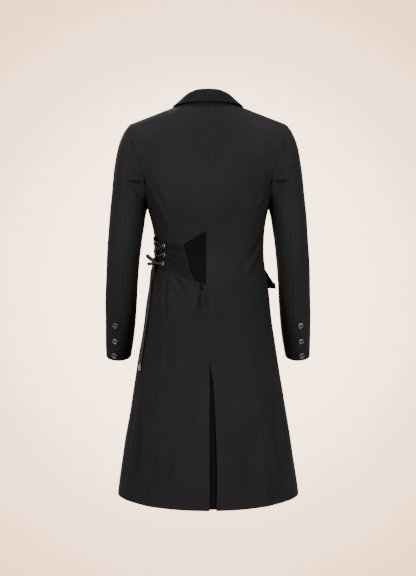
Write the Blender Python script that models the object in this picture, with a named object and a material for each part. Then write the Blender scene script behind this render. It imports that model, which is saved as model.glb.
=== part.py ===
"""Frock coat filled out with no wearer, built as cloth solids of its real pieces.

Sizes are in metres and +Z is up. The coat's front faces -Y and its own left side is +X.
The origin is the middle of the neck, at the height where the shoulders carry the coat.
"""

import math

import bpy
import numpy as np
from mathutils import Vector
from mathutils.bvhtree import BVHTree

# Cloth and seams
CLOTH = 0.0016
COLLAR_CLOTH = 0.0022
SEAM = 0.0003
LIE = 0.00045
LEFT, RIGHT = 1, -1

# Neck, shoulder and armhole
NECK_HALF = 0.080
NECK_BACK = 0.075
NECK_BACK_Z = 0.018
NECK_SIDE_Z = 0.0125
SHOULDER_HALF = 0.2155
SHOULDER_SLOPE = 0.39
SHOULDER_ROUND = 0.120
TIP_Z = NECK_SIDE_Z - SHOULDER_SLOPE * (SHOULDER_HALF - NECK_HALF)
UNDERARM_Z = -0.272
SIDE_SEAM_TURN = -8.0

# Skirt
HEM_SIDE_Z = -1.051
HEM_BACK_DIP = 0.011
HEM_FRONT_DIP = 0.006
VENT_TOP_Z = -0.699
FRONT_LAP = 0.020
BREAK_Z = -0.198

# Level sections of the coat's body
SECTIONS = (
    # height, half width, depth of back, depth of front, squareness, shift to its left
    (-1.0650, 0.2545, 0.205, 0.200, 2.10, 0.000),
    (-0.9465, 0.2379, 0.192, 0.187, 2.12, 0.000),
    (-0.8585, 0.2228, 0.180, 0.176, 2.15, 0.000),
    (-0.7705, 0.2076, 0.168, 0.165, 2.18, 0.000),
    (-0.6825, 0.1935, 0.157, 0.155, 2.20, 0.000),
    (-0.6165, 0.1829, 0.149, 0.147, 2.20, 0.000),
    (-0.5505, 0.1746, 0.142, 0.140, 2.20, 0.000),
    (-0.5010, 0.1685, 0.136, 0.133, 2.20, -0.001),
    (-0.4680, 0.1625, 0.129, 0.127, 2.20, -0.002),
    (-0.4350, 0.1560, 0.120, 0.121, 2.20, -0.003),
    (-0.4020, 0.1505, 0.113, 0.117, 2.20, -0.004),
    (-0.3525, 0.1525, 0.113, 0.118, 2.25, -0.004),
    (-0.3195, 0.1570, 0.118, 0.122, 2.30, -0.002),
    (-0.2720, 0.1680, 0.125, 0.126, 2.50, 0.000),
    (-0.2500, 0.1745, 0.125, 0.126, 2.60, 0.000),
    (-0.2100, 0.1920, 0.123, 0.124, 2.75, 0.000),
    (-0.1880, 0.2060, 0.120, 0.121, 2.85, 0.000),
    (-0.1500, 0.2300, 0.115, 0.117, 2.90, 0.000),
    (-0.0900, 0.2500, 0.106, 0.110, 2.90, 0.000),
    (-0.0390, 0.2600, 0.098, 0.104, 2.90, 0.000),
    (0.0300, 0.2650, 0.088, 0.098, 2.90, 0.000),
)

# Seams down the body: distance out from the middle
CENTRE_SEAM = (
    # height, distance to the coat's left
    (-1.0700, -0.0045),
    (-0.7700, -0.0045),
    (-0.6990, -0.0050),
    (-0.5500, -0.0010),
    (-0.4800, 0.0030),
    (-0.4000, 0.0055),
    (-0.3300, 0.0030),
    (-0.2500, -0.0030),
    (-0.1000, -0.0050),
    (0.0200, -0.0030),
)
VENT_EDGE = (
    # height, distance to the coat's left of the right panel's edge
    (-1.0700, -0.0205),
    (-0.9700, -0.0245),
    (-0.9000, -0.0225),
    (-0.8300, -0.0180),
    (-0.7600, -0.0165),
    (-0.7300, -0.0140),
    (-0.6990, -0.0053),
)
CURVED_BACK_SEAM = (
    # height, distance out
    (-1.0700, 0.1600),
    (-0.9170, 0.1480),
    (-0.8230, 0.1400),
    (-0.7180, 0.1295),
    (-0.6180, 0.1210),
    (-0.5210, 0.1120),
    (-0.4200, 0.1085),
    (-0.3850, 0.1095),
    (-0.3500, 0.1130),
    (-0.3000, 0.1220),
    (-0.2720, 0.1310),
    (-0.2500, 0.1410),
    (-0.2300, 0.1530),
    (-0.2100, 0.1680),
)
BACK_ARMHOLE = (
    # height, distance out
    (-0.2100, 0.1680),
    (-0.1880, 0.1735),
    (-0.1650, 0.1810),
    (-0.1400, 0.1900),
    (-0.1170, 0.1980),
    (-0.0950, 0.2035),
    (-0.0750, 0.2080),
    (-0.0570, 0.2120),
    (-0.0455, 0.2143),
    (TIP_Z, SHOULDER_HALF),
)
LOW_ARMHOLE = (
    # height, turn from the coat's side in degrees, from the curved back seam down
    (-0.2100, 26.6),
    (-0.2350, 24.0),
    (-0.2540, 14.0),
    (-0.2670, 3.0),
    (UNDERARM_Z, SIDE_SEAM_TURN),
)
LOW_FRONT_ARMHOLE = (
    # height, turn from the coat's side in degrees, from the underarm up
    (UNDERARM_Z, SIDE_SEAM_TURN),
    (-0.2630, -16.0),
    (-0.2450, -24.0),
)
FRONT_ARMHOLE = (
    # height, distance out
    (-0.2150, 0.1665),
    (-0.1880, 0.1690),
    (-0.1500, 0.1750),
    (-0.1170, 0.1830),
    (-0.0900, 0.1930),
    (-0.0650, 0.2050),
    (-0.0490, 0.2125),
    (TIP_Z, SHOULDER_HALF),
)
# Turns round the armhole, 0 at the shoulder, where panels and sleeve pieces have points
BACK_STATIONS = (0, 18, 33, 47, 62, 78, 97, 118)
LOW_STATIONS = (118, 137, 156, 180)
FRONT_STATIONS = (-180, -157, -136, -115, -95, -78, -62, -47, -33, -18, 0)
ROLL_LINE = (
    # height, distance out of the front's turned edge
    (BREAK_Z, -0.0190),
    (-0.1720, -0.0040),
    (-0.1350, 0.0160),
    (-0.0970, 0.0340),
    (-0.0600, 0.0500),
    (-0.0300, 0.0620),
    (-0.0080, 0.0720),
    (NECK_SIDE_Z, NECK_HALF),
)
SKIRT_ROWS = (
    -0.980, -0.890, -0.800, -0.735, -0.699, -0.645, -0.590,
    -0.540, -0.500, -0.465, -0.432, -0.400, -0.365, -0.330,
)
VENT_ROWS = 5
SIDE_TOP_IN = (-0.330, -0.300, -0.272, -0.250, -0.230, -0.210)
SIDE_TOP_OUT = (-0.330, -0.318, -0.306, -0.295, -0.283, UNDERARM_Z)

# Soft troughs (minus) and ridges (plus) drawn as lines on the body
FOLDS = (
    # side, turn and height at the start, turn and height at the end, rise, half width
    (LEFT, 44.0, -0.452, 52.0, -0.520, -0.0030, 0.011),
    (LEFT, 33.0, -0.452, 34.0, -0.560, -0.0030, 0.012),
    (LEFT, 39.0, -0.455, 42.0, -0.540, 0.0022, 0.011),
    (LEFT, 80.0, -0.482, 76.0, -0.560, -0.0026, 0.010),
    (LEFT, 80.0, -0.482, 87.0, -0.550, -0.0022, 0.010),
    (RIGHT, 45.0, -0.340, 36.0, -0.430, -0.0022, 0.014),
    (RIGHT, 52.0, -0.400, 47.0, -0.500, -0.0018, 0.014),
    (LEFT, 20.0, -0.780, 18.0, -1.050, -0.0030, 0.022),
    (RIGHT, 24.0, -0.760, 21.0, -1.050, -0.0030, 0.022),
    (LEFT, -42.0, -0.700, -44.0, -1.050, -0.0030, 0.024),
    (RIGHT, -38.0, -0.740, -41.0, -1.050, -0.0030, 0.024),
    (LEFT, -48.0, -0.330, -56.0, -0.430, -0.0022, 0.014),
    (RIGHT, -47.0, -0.340, -54.0, -0.430, -0.0022, 0.014),
)

# Sleeve, a run of rings from the armhole to the cuff
ARM_RINGS = (
    # outer out, outer height, inner out, inner height, middle to the back, half depth
    (SHOULDER_HALF, TIP_Z, 0.1675, UNDERARM_Z, -0.004, 0.0840),
    (0.2290, -0.0520, 0.1705, -0.2860, -0.006, 0.0800),
    (0.2395, -0.0720, 0.1722, -0.2970, -0.005, 0.0785),
    (0.2480, -0.0980, 0.1732, -0.3050, -0.004, 0.0770),
    (0.2545, -0.1340, 0.1742, -0.3130, -0.003, 0.0755),
    (0.2600, -0.1790, 0.1755, -0.3230, -0.002, 0.0735),
    (0.2650, -0.2300, 0.1775, -0.3370, 0.000, 0.0715),
    (0.2700, -0.2850, 0.1805, -0.3560, 0.001, 0.0695),
    (0.2750, -0.3420, 0.1845, -0.3880, 0.000, 0.0670),
    (0.2795, -0.4000, 0.1890, -0.4250, -0.005, 0.0640),
    (0.2828, -0.4570, 0.1925, -0.4690, -0.014, 0.0605),
    (0.2850, -0.5120, 0.1955, -0.5180, -0.026, 0.0570),
    (0.2865, -0.5670, 0.1990, -0.5700, -0.041, 0.0535),
    (0.2875, -0.6150, 0.2045, -0.6170, -0.056, 0.0500),
    (0.2880, -0.6500, 0.2110, -0.6515, -0.068, 0.0475),
    (0.2880, -0.6770, 0.2160, -0.6785, -0.0775, 0.0460),
)
ARM_TILT = (0, 0, 0, 0, 0, 1, 2, 3, 5, 8, 11, 14, 16, 18, 19.5, 19.5)
ARM_STEPS = (0, 1, 1.8, 2.6, 3.5, 4.4, 5.2, 6, 7, 8, 9, 10, 11, 12, 13, 14, 15)
ARM_SQUARE = 2.15
ARMHOLE_SET = 0.0004
ARMHOLE_AWAY = np.array((0.98, 0.0, -0.20)) / math.hypot(0.98, 0.20)
BACK_SLEEVE_SEAM = ((0, 62.0), (4, 84.0), (8, 97.0), (15, 100.0))
FRONT_SLEEVE_SEAM = ((0, -115.0), (5, -126.0), (15, -128.0))
UPPER_STATIONS = FRONT_STATIONS[3:] + BACK_STATIONS[1:5]
UNDER_STATIONS = BACK_STATIONS[4:] + LOW_STATIONS[1:] + (203, 224, 245)

# Collar, right half mirrored: foot of the stand, roll line, edge of the fall
COLLAR = (
    # foot out, back, height; roll out, back, height; edge out, back, height
    (0.0000, 0.0738, 0.0184, 0.0000, 0.0700, 0.0430, 0.0000, 0.0900, 0.0090),
    (0.0296, 0.0674, 0.0177, 0.0270, 0.0640, 0.0420, 0.0400, 0.0835, 0.0085),
    (0.0543, 0.0488, 0.0161, 0.0480, 0.0455, 0.0360, 0.0700, 0.0640, 0.0085),
    (0.0710, 0.0240, 0.0144, 0.0620, 0.0215, 0.0295, 0.0885, 0.0390, 0.0080),
    (0.0790, -0.0010, 0.0133, 0.0700, -0.0050, 0.0235, 0.0970, -0.0020, 0.0115),
    (0.0762, -0.0310, 0.0076, 0.0675, -0.0320, 0.0165, 0.1000, -0.0400, 0.0035),
    (0.0722, -0.0505, -0.0032, 0.0640, -0.0500, 0.0050, 0.0990, -0.0740, -0.0250),
)
COLLAR_FOLD = 0.0090
LAPEL = (
    # height of the turned edge, distance out of the outer edge, its height
    (-0.0140, 0.1250, -0.0500),
    (-0.0420, 0.1190, -0.0740),
    (-0.0700, 0.1080, -0.0970),
    (-0.0970, 0.0910, -0.1180),
    (-0.1350, 0.0540, -0.1480),
    (-0.1560, 0.0200, -0.1640),
)

# Laced waist tab and the side tab that it is laced to
TAB_TOP = ((0.1240, -0.3618), (0.0995, -0.3646), (0.0640, -0.3735))
TAB_FOOT = ((0.1240, -0.4424), (0.1063, -0.4390), (0.0755, -0.4528), (0.0318, -0.4714))
INSET_EDGE = ((0.0318, -0.4714), (0.0452, -0.4502), (0.0505, -0.4183), (0.0640, -0.3735))
INSET_TOP = ((0.0640, -0.3735), (0.0062, -0.3400))
INSET_FOOT = ((0.0318, -0.4714), (0.0062, -0.4790))
TAB_LIFT = 0.0044
SIDE_TAB_FREE, SIDE_TAB_END = 25.0, -7.0
SIDE_TAB_TOP = (-0.349, -0.352)
SIDE_TAB_FOOT = (-0.434, -0.446)
EYELET_TURN_BACK, EYELET_TURN_SIDE = 39.3, 20.6
EYELET_Z_BACK = (-0.3776, -0.4017, -0.4262)
EYELET_Z_SIDE = (-0.3660, -0.3890, -0.4115)
EYELET_HOLE = 0.0031
EYELET_BARREL = 0.0037
EYELET_RIM = 0.0062
EYELET_RIM_THICK = 0.0012
TAB_HOLE = EYELET_BARREL + SEAM

# The lace: one cord through the eyelets, tied over the gap between the tabs
LACE = 0.0036
LACE_LOW, LACE_HIGH = 0.0026, 0.0108
KNOT = (29.0, -0.4250, 0.0130)
KNOT_RADIUS = 0.0041
LOOP_UP = (
    # out, back and height from the middle of the knot
    (0.0000, 0.0030, 0.0040), (0.0050, 0.0055, 0.0100), (0.0120, 0.0044, 0.0160),
    (0.0176, 0.0022, 0.0202), (0.0208, -0.0012, 0.0196), (0.0200, -0.0036, 0.0148),
    (0.0130, -0.0035, 0.0085), (0.0034, -0.0026, 0.0027),
)
LOOP_DOWN = (
    (0.0036, 0.0032, -0.0014), (0.0095, 0.0045, -0.0050), (0.0155, 0.0025, -0.0055),
    (0.0180, -0.0005, -0.0035), (0.0165, -0.0025, -0.0012), (0.0125, -0.0025, -0.0008),
    (0.0044, -0.0018, -0.0018),
)
LOOP_POINTS = 13
STRAND = (
    # turn, height, distance from the cloth
    (28.9, -0.4305, 0.0130), (23.6, -0.4470, 0.0115), (18.8, -0.4680, 0.0070),
    (18.0, -0.5000, 0.0036), (19.2, -0.5400, 0.0030), (19.0, -0.5800, 0.0030),
    (17.6, -0.6200, 0.0030), (18.6, -0.6550, 0.0030), (20.8, -0.6850, 0.0030),
    (21.6, -0.7150, 0.0030),
)
STRAND_POINTS = 28
STRAND_APART = (0.0040, 0.0064)
TIP_LENGTH, TIP_OUTER, TIP_INNER, TIP_TAIL = 0.0185, 0.0029, 0.0021, 0.0030

# Pocket flaps: turns of the rear and front ends, height, drop, how far the corners stand out
FLAPS = (
    (RIGHT, -1.5, -46.0, -0.4430, 0.0520, 0.0185, 0.0040),
    (LEFT, -16.0, -58.0, -0.4430, 0.0520, 0.0040, 0.0030),
)

# Buttons
BUTTON = (
    # distance from the middle, height
    (0.0000, 0.0000), (0.0072, 0.0000), (0.0080, 0.0016), (0.0072, 0.0034),
    (0.0056, 0.0036), (0.0044, 0.0024), (0.0000, 0.0030),
)
CUFF_BUTTONS = (12.2, 13.15, 14.4)
CUFF_BUTTON_TURN = 78.0
FRONT_BUTTON_Z = (-0.225, -0.300, -0.375, -0.450)


def dense(table, step=0.0005):
    """Columns of a table as smooth, close samples against its first column."""
    rows = np.array(sorted(table), float)
    at = rows[:, 0]
    out = np.arange(at[0], at[-1] + step, step)
    columns = [out]
    slot = np.clip(np.searchsorted(at, out, side="right") - 1, 0, len(at) - 2)
    gap = np.diff(at)
    share = np.clip((out - at[slot]) / gap[slot], 0, 1)
    for column in rows[:, 1:].T:
        slope = np.diff(column) / gap
        tangent = np.empty(len(at))
        tangent[0], tangent[-1] = slope[0], slope[-1]
        tangent[1:-1] = (slope[:-1] * gap[1:] + slope[1:] * gap[:-1]) / (gap[1:] + gap[:-1])
        t2, t3 = share ** 2, share ** 3
        columns.append((2 * t3 - 3 * t2 + 1) * column[slot]
                       + (t3 - 2 * t2 + share) * gap[slot] * tangent[slot]
                       + (3 * t2 - 2 * t3) * column[slot + 1]
                       + (t3 - t2) * gap[slot] * tangent[slot + 1])
    return columns


def read(columns, at):
    """Values of every column of a dense table at one place."""
    return [float(np.interp(at, columns[0], column)) for column in columns[1:]]


BODY = dense(SECTIONS)
CENTRE = dense(CENTRE_SEAM)
VENT = dense(VENT_EDGE)
CURVED = dense(CURVED_BACK_SEAM)
ROLL = dense(ROLL_LINE)
ARM = dense([(i, *ring, tilt) for i, (ring, tilt) in enumerate(zip(ARM_RINGS, ARM_TILT))],
            0.01)


def power(value, exponent):
    """A signed power."""
    return math.copysign(abs(value) ** exponent, value)


def soft_step(value):
    """Rises smoothly from 0 to 1 as the value goes from 0 to 1."""
    value = min(1.0, max(0.0, value))
    return value * value * (3 - 2 * value)


def turn_at(out, height, front=False):
    """Turn round the body, from its side, of a place some way out from the middle."""
    half, _, _, square, _ = read(BODY, height)
    turn = math.degrees(math.acos(max(-1, min(1, power(out / half, square / 2)))))
    return -turn if front else turn


def top_height(out):
    """Height of the neck edge or shoulder seam some way out from the middle."""
    if out < NECK_HALF:
        return NECK_BACK_Z - (NECK_BACK_Z - NECK_SIDE_Z) * (out / NECK_HALF) ** 2
    return NECK_SIDE_Z - SHOULDER_SLOPE * (out - NECK_HALF)


def fold_rise(side, place, height):
    """How far the folds raise the cloth at a place, from its points and height."""
    rise = 0.0
    for fold_side, start, start_z, end, end_z, most, wide in FOLDS:
        if fold_side != side:
            continue
        a = np.array(body_bare(side, start, start_z))
        b = np.array(body_bare(side, end, end_z))
        along = b - a
        share = float(np.dot(place - a, along) / np.dot(along, along))
        off = np.linalg.norm(place - a - min(1, max(0, share)) * along)
        if off < 3 * wide:
            fade = soft_step((share + 0.25) / 0.4) * soft_step((1.25 - share) / 0.5)
            rise += most * math.exp(-((off / wide) ** 2)) * fade
    return rise


def body_bare(side, turn, height):
    """Place on the body's outer face with no folds."""
    half, back, front, square, shift = read(BODY, height)
    angle = math.radians(turn)
    out = half * power(math.cos(angle), 2 / square)
    deep = (back if turn >= 0 else front) * power(math.sin(angle), 2 / square)
    drop = max(top_height(abs(out)) - height, 0.0)
    if drop < SHOULDER_ROUND:
        seat = 0.0
        if turn > 0:
            reach = min(1.0, abs(out) / (NECK_HALF + 0.9 * drop))
            seat = NECK_BACK * (1 - reach ** 2.2) ** 0.7
        rounded = math.sqrt(max(0.0, 1 - (1 - drop / SHOULDER_ROUND) ** 2))
        deep = seat + (deep - seat) * rounded
    return shift + side * out, deep, height


def body_normal(side, turn, height):
    """Direction straight out of the body's cloth."""
    a, b = (np.array(body_bare(side, turn + d, height)) for d in (-0.6, 0.6))
    c, d = (np.array(body_bare(side, turn, height + e)) for e in (-0.001, 0.001))
    normal = np.cross(b - a, d - c) * side
    normal = normal / np.linalg.norm(normal)
    out = abs(body_bare(side, turn, height)[0])
    drop = top_height(out) - height
    if drop < 0.006:
        slope = SHOULDER_SLOPE if out >= NECK_HALF else 0.0
        ridge = np.array((side * slope, 0.0, 1.0))
        ridge = ridge / np.linalg.norm(ridge)
        share = soft_step(drop / 0.006)
        normal = ridge * (1 - share) + normal * share
        normal = normal / np.linalg.norm(normal)
    return normal


def body_place(side, turn, height, lift=0.0):
    """Place on the body's outer face, with its folds, moved out by lift."""
    bare = np.array(body_bare(side, turn, height))
    normal = body_normal(side, turn, height)
    return bare + normal * (fold_rise(side, bare, height) + lift), normal


def hem_height(turn):
    """Height of the hem at a turn."""
    dip = HEM_BACK_DIP if turn > 0 else HEM_FRONT_DIP
    return HEM_SIDE_Z - dip * math.sin(math.radians(turn)) ** 2


def material(name, colour, rough, metal=0.0, sheen=0.0):
    """Principled material with one colour."""
    made = bpy.data.materials.new(name)
    made.use_nodes = True
    shader = made.node_tree.nodes["Principled BSDF"]
    shader.inputs["Base Color"].default_value = (*colour, 1.0)
    shader.inputs["Roughness"].default_value = rough
    shader.inputs["Metallic"].default_value = metal
    shader.inputs["Sheen Weight"].default_value = sheen
    made.diffuse_color = (*colour, 1.0)
    return made


def solid(name, points, faces, made, smooth=True):
    """One named object from points and faces, turned to face out."""
    mesh = bpy.data.meshes.new(name)
    points = np.array(points, float)
    volume = 0.0
    for face in faces:
        for second, third in zip(face[1:], face[2:]):
            volume += np.dot(points[face[0]], np.cross(points[second], points[third]))
    if volume < 0:
        faces = [tuple(reversed(face)) for face in faces]
    mesh.from_pydata([tuple(point) for point in points], [], faces)
    mesh.materials.append(made)
    for polygon in mesh.polygons:
        polygon.use_smooth = smooth
    mesh.update()
    made_object = bpy.data.objects.new(name, mesh)
    bpy.context.scene.collection.objects.link(made_object)
    return made_object


def cloth_solid(name, outer, inward, thick, made):
    """Closed wall of cloth from a grid of outer points and the way into the cloth."""
    outer = np.array(outer, float)
    inner = outer + np.array(inward, float) * thick
    rows, columns = outer.shape[:2]
    points = np.concatenate([outer.reshape(-1, 3), inner.reshape(-1, 3)])
    layer = rows * columns
    faces = []
    for r in range(rows - 1):
        for c in range(columns - 1):
            a, b = r * columns + c, r * columns + c + 1
            d, e = a + columns, b + columns
            halves = [(a, b, e), (a, e, d)]
            if np.linalg.norm(points[b] - points[d]) < np.linalg.norm(points[a] - points[e]):
                halves = [(a, b, d), (b, e, d)]
            for half in halves:
                faces.append(half)
                faces.append(tuple(i + layer for i in reversed(half)))
    rim = [c for c in range(columns)]
    rim += [r * columns + columns - 1 for r in range(1, rows)]
    rim += [(rows - 1) * columns + c for c in range(columns - 2, -1, -1)]
    rim += [r * columns for r in range(rows - 2, 0, -1)]
    for first, second in zip(rim, rim[1:] + rim[:1]):
        faces.append((second, first, first + layer, second + layer))
    return solid(name, points, faces, made)


def body_panel(name, side, grid, made, thick=CLOTH, lift=None):
    """Cloth piece on the body from a grid of turns and heights."""
    outer, inward = [], []
    for row in grid:
        outer.append([])
        inward.append([])
        for turn, height in row:
            rise = lift(turn, height) if lift else 0.0
            place, normal = body_place(side, turn, height, rise)
            outer[-1].append(place)
            inward[-1].append(-normal)
    return cloth_solid(name, outer, inward, thick, made)


def blend(left, right, foot, top):
    """Grid of turns and heights inside four edges given as lists of pairs."""
    left, right, foot, top = (np.array(edge, float) for edge in (left, right, foot, top))
    grid = []
    for j in range(len(left)):
        v = j / (len(left) - 1)
        row = []
        for i in range(len(foot)):
            u = i / (len(foot) - 1)
            place = (1 - u) * left[j] + u * right[j]
            place = place + (1 - v) * (foot[i] - (1 - u) * foot[0] - u * foot[-1])
            place = place + v * (top[i] - (1 - u) * top[0] - u * top[-1])
            row.append(tuple(place))
        grid.append(row)
    return grid


def skirt_rows(inner, outer, columns, heights=SKIRT_ROWS):
    """Rows from the hem up between two seams that are functions of height."""
    rows = []
    for height in (None, *heights):
        level = HEM_SIDE_Z if height is None else height
        a, b = inner(level), outer(level)
        turns = [a + (b - a) * i / columns for i in range(columns + 1)]
        rows.append([(t, hem_height(t) if height is None else height) for t in turns])
    return rows


def seam_turn(height):
    """Half a seam's gap as a turn in degrees."""
    half, back, _, _, _ = read(BODY, height)
    return math.degrees(SEAM / 2 / math.sqrt(half * back))


def curved_turn(height):
    """Turn of the curved back seam."""
    return turn_at(read(CURVED, height)[0], height)


def centre_turn(side, height):
    """Turn of the back panel's inner edge: the middle seam, and the vent below it."""
    shift = read(BODY, height)[4]
    out = read(CENTRE, height)[0]
    if side == RIGHT and height < VENT_TOP_Z - 0.001:
        out = read(VENT, height)[0]
    elif side == RIGHT:
        out -= SEAM / 2
    else:
        out += SEAM / 2
    return turn_at(side * (out - shift), height)


P_TURN = math.acos((-0.210 - (TIP_Z + UNDERARM_Z) / 2) / ((TIP_Z - UNDERARM_Z) / 2))


def armhole_turn(turned, front=False):
    """Height and turn on the armhole at a turn round it, 0 at the top, back first."""
    middle, reach = (TIP_Z + UNDERARM_Z) / 2, (TIP_Z - UNDERARM_Z) / 2
    if abs(turned - math.radians(LOW_STATIONS[0])) < 1e-6:
        turned = P_TURN
    height = middle + reach * math.cos(turned)
    if turned < 0 or front:
        rows = sorted(list(LOW_FRONT_ARMHOLE)
                      + [(z, turn_at(out, z, True)) for z, out in FRONT_ARMHOLE])
        return height, float(np.interp(height, [r[0] for r in rows], [r[1] for r in rows]))
    rows = sorted([(z, t) for z, t in LOW_ARMHOLE[1:]]
                  + [(z, turn_at(out, z)) for z, out in BACK_ARMHOLE])
    return height, float(np.interp(height, [r[0] for r in rows], [r[1] for r in rows]))


def hole_point(degrees, front=False):
    """Turn and height of one of the armhole's points."""
    height, turn = armhole_turn(math.radians(degrees), front)
    return turn, height


def add_backs(made):
    """Back left and right, from the middle seam to the curved seam and armhole."""
    columns = 9
    backs = []
    for side, word in ((LEFT, "left"), (RIGHT, "right")):
        def inner(z, side=side):
            return centre_turn(side, z)

        def outer(z):
            return curved_turn(z) + seam_turn(z)

        rows = skirt_rows(inner, outer, columns, (*SKIRT_ROWS, -0.300, UNDERARM_Z))
        right = [(curved_turn(z) + seam_turn(z), z) for z in (-0.272, -0.250, -0.230, -0.210)]
        right += [hole_point(turned) for turned in reversed(BACK_STATIONS[:-1])]
        rise = [(z - UNDERARM_Z) / (TIP_Z - UNDERARM_Z) for _, z in right]
        levels = [UNDERARM_Z + r * (NECK_BACK_Z - UNDERARM_Z) for r in rise]
        left = [(centre_turn(side, z), z) for z in levels]
        top = [left[-1]]
        for out in (0.030, 0.055, 0.072, NECK_HALF, 0.105, 0.132, 0.160, 0.188):
            top.append((turn_at(out, top_height(out)), top_height(out)))
        top.append(right[-1])
        upper = blend(left, right, rows[-1], top)
        grid = rows + upper[1:]
        body = body_panel("back_" + word, side, grid, made)
        part_shoulder(body, 0.5 * SEAM)
        backs.append(body)
    return backs


def part_shoulder(body, away):
    """Moves the shoulder seam's edge of a panel off the middle plane."""
    for vertex in body.data.vertices:
        place = vertex.co
        close = abs(place.y) < abs(away) + 0.0012
        if close and place.z > TIP_Z - 0.004 and abs(place.x) > NECK_HALF - 0.002:
            place.y = away


def add_side_backs(made):
    """Side back panels, from the curved seam round to the side seam."""
    sides = []
    for side, word in ((LEFT, "left"), (RIGHT, "right")):
        def inner(z):
            return curved_turn(z) - seam_turn(z)

        def outer(z):
            return SIDE_SEAM_TURN + seam_turn(z)

        rows = skirt_rows(inner, outer, 3)
        left = [(curved_turn(z) - seam_turn(z), z) for z in SIDE_TOP_IN]
        right = [(SIDE_SEAM_TURN + seam_turn(z), z) for z in SIDE_TOP_OUT]
        top = [left[-1]] + [hole_point(turned) for turned in LOW_STATIONS[1:-1]] + [right[-1]]
        upper = blend(left, right, rows[-1], top)
        sides.append(body_panel("side_back_" + word, side, rows + upper[1:], made))
    return sides


def add_fronts(made):
    """Fronts from the side seam to the lapped edge, the left one over the right one."""
    columns = 8
    fronts = []
    for side, word in ((LEFT, "left"), (RIGHT, "right")):
        def edge(z, side=side):
            shift = side * read(BODY, z)[4]
            out = read(ROLL, z)[0] if z > BREAK_Z else -FRONT_LAP
            return turn_at(out - shift, z, True)

        def outer(z):
            return SIDE_SEAM_TURN - seam_turn(z)

        def lift(turn, height, side=side):
            if side == LEFT:
                return 0.0
            place = body_bare(side, turn, height)[0]
            return -0.0029 * (1 - soft_step((side * place - 0.026) / 0.030))

        rows = skirt_rows(outer, edge, columns)
        left = [(SIDE_SEAM_TURN - seam_turn(z), z) for z in SIDE_TOP_OUT]
        left += [hole_point(turned, True) for turned in FRONT_STATIONS[1:]]
        steps = len(left) - 1
        levels = [NECK_SIDE_Z - (NECK_SIDE_Z + 0.330) * (1 - j / steps) ** 1.5
                  for j in range(steps + 1)]
        right = [(edge(z), z) for z in levels]
        top = [left[-1]]
        for i in range(1, columns):
            out = SHOULDER_HALF + (NECK_HALF - SHOULDER_HALF) * i / columns
            top.append((turn_at(out, top_height(out), True), top_height(out)))
        top.append(right[-1])
        upper = blend(left, right, rows[-1], top)
        body = body_panel("front_" + word, side, rows + upper[1:], made, CLOTH, lift)
        part_shoulder(body, -0.5 * SEAM)
        fronts.append(body)
    return fronts


def add_underlap(made):
    """Strip behind the open vent."""
    grid = []
    for height in (None, *SKIRT_ROWS[:VENT_ROWS]):
        level = HEM_SIDE_Z if height is None else height
        narrow = 0.35 if height == VENT_TOP_Z else 1.0
        row = []
        for out in (0.016, -0.004, -0.024, -0.046):
            turn = turn_at(out * narrow, level)
            row.append((turn, hem_height(turn) + 0.003 if height is None else level))
        grid.append(row)

    def lift(turn, height):
        return -(CLOTH + 0.0006) - 0.0022 * soft_step((turn - 90) / 3.0)

    body_panel("vent_underlap", LEFT, grid, made, CLOTH, lift)


def arm_bare(turned, along):
    """Place on the left sleeve's outer face: turned is 0 at its outer side, back first."""
    ox, oz, ix, iz, middle, deep, tilt = read(ARM, along)
    c = power(math.cos(turned), 2 / ARM_SQUARE)
    s = power(math.sin(turned), 2 / ARM_SQUARE)
    lean = math.radians(tilt)
    ring = np.array(((ox + ix) / 2 + (ox - ix) / 2 * c,
                     middle + deep * s * math.cos(lean),
                     (oz + iz) / 2 + (oz - iz) / 2 * c - deep * s * math.sin(lean)))
    share = (1 - min(1.0, along / 3.0)) ** 1.5
    if share <= 0:
        return ring
    wrapped = (turned + math.pi) % (2 * math.pi) - math.pi
    height, turn = armhole_turn(wrapped)
    hole = np.array(body_bare(LEFT, turn, height)) + ARMHOLE_AWAY * ARMHOLE_SET
    return share * hole + (1 - share) * ring


def arm_place(turned, along, lift=0.0):
    """Place on the sleeve, moved out by lift, and the way straight out of it."""
    low, high = max(0.0, along - 0.4), min(15.0, along + 0.4)
    a, b = arm_bare(turned - 0.03, along), arm_bare(turned + 0.03, along)
    c, d = arm_bare(turned, low), arm_bare(turned, high)
    normal = -np.cross(b - a, d - c)
    normal = normal / np.linalg.norm(normal)
    return arm_bare(turned, along) + normal * lift, normal


def add_sleeves(made):
    """Upper and under sleeves, cut apart along a back seam and a front seam."""
    back_at, back_turn = zip(*BACK_SLEEVE_SEAM)
    front_at, front_turn = zip(*FRONT_SLEEVE_SEAM)
    for piece, stations in (("upper", UPPER_STATIONS), ("under", UNDER_STATIONS)):
        outer, inward = [], []
        first = [(t - stations[0]) / (stations[-1] - stations[0]) for t in stations]
        for along in ARM_STEPS:
            back = math.radians(np.interp(along, back_at, back_turn))
            front = math.radians(np.interp(along, front_at, front_turn))
            gap = SEAM / 2 / 0.03
            if piece == "upper":
                start, end = front + gap, back - gap
            else:
                start, end = back + gap, front + 2 * math.pi - gap
            outer.append([])
            inward.append([])
            even = soft_step(along / 4.0)
            for i, share in enumerate(first):
                share = share * (1 - even) + even * i / (len(first) - 1)
                turned = start + (end - start) * share
                if along == 0 and 0 < i < len(first) - 1:
                    turned = math.radians(stations[i])
                place, normal = arm_place(turned, along)
                level = normal - np.dot(normal, ARMHOLE_AWAY) * ARMHOLE_AWAY
                share = soft_step((np.linalg.norm(level) - 0.55) / 0.3) * (1 - min(1, along))
                normal = share * level + (1 - share) * normal
                normal = normal / np.linalg.norm(normal)
                outer[-1].append(place)
                inward[-1].append(-normal)
        for side, word in ((LEFT, "left"), (RIGHT, "right")):
            flip = np.array((side, 1, 1))
            cloth_solid(piece + "_sleeve_" + word, np.array(outer) * flip,
                        np.array(inward) * flip, CLOTH, made)


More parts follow.
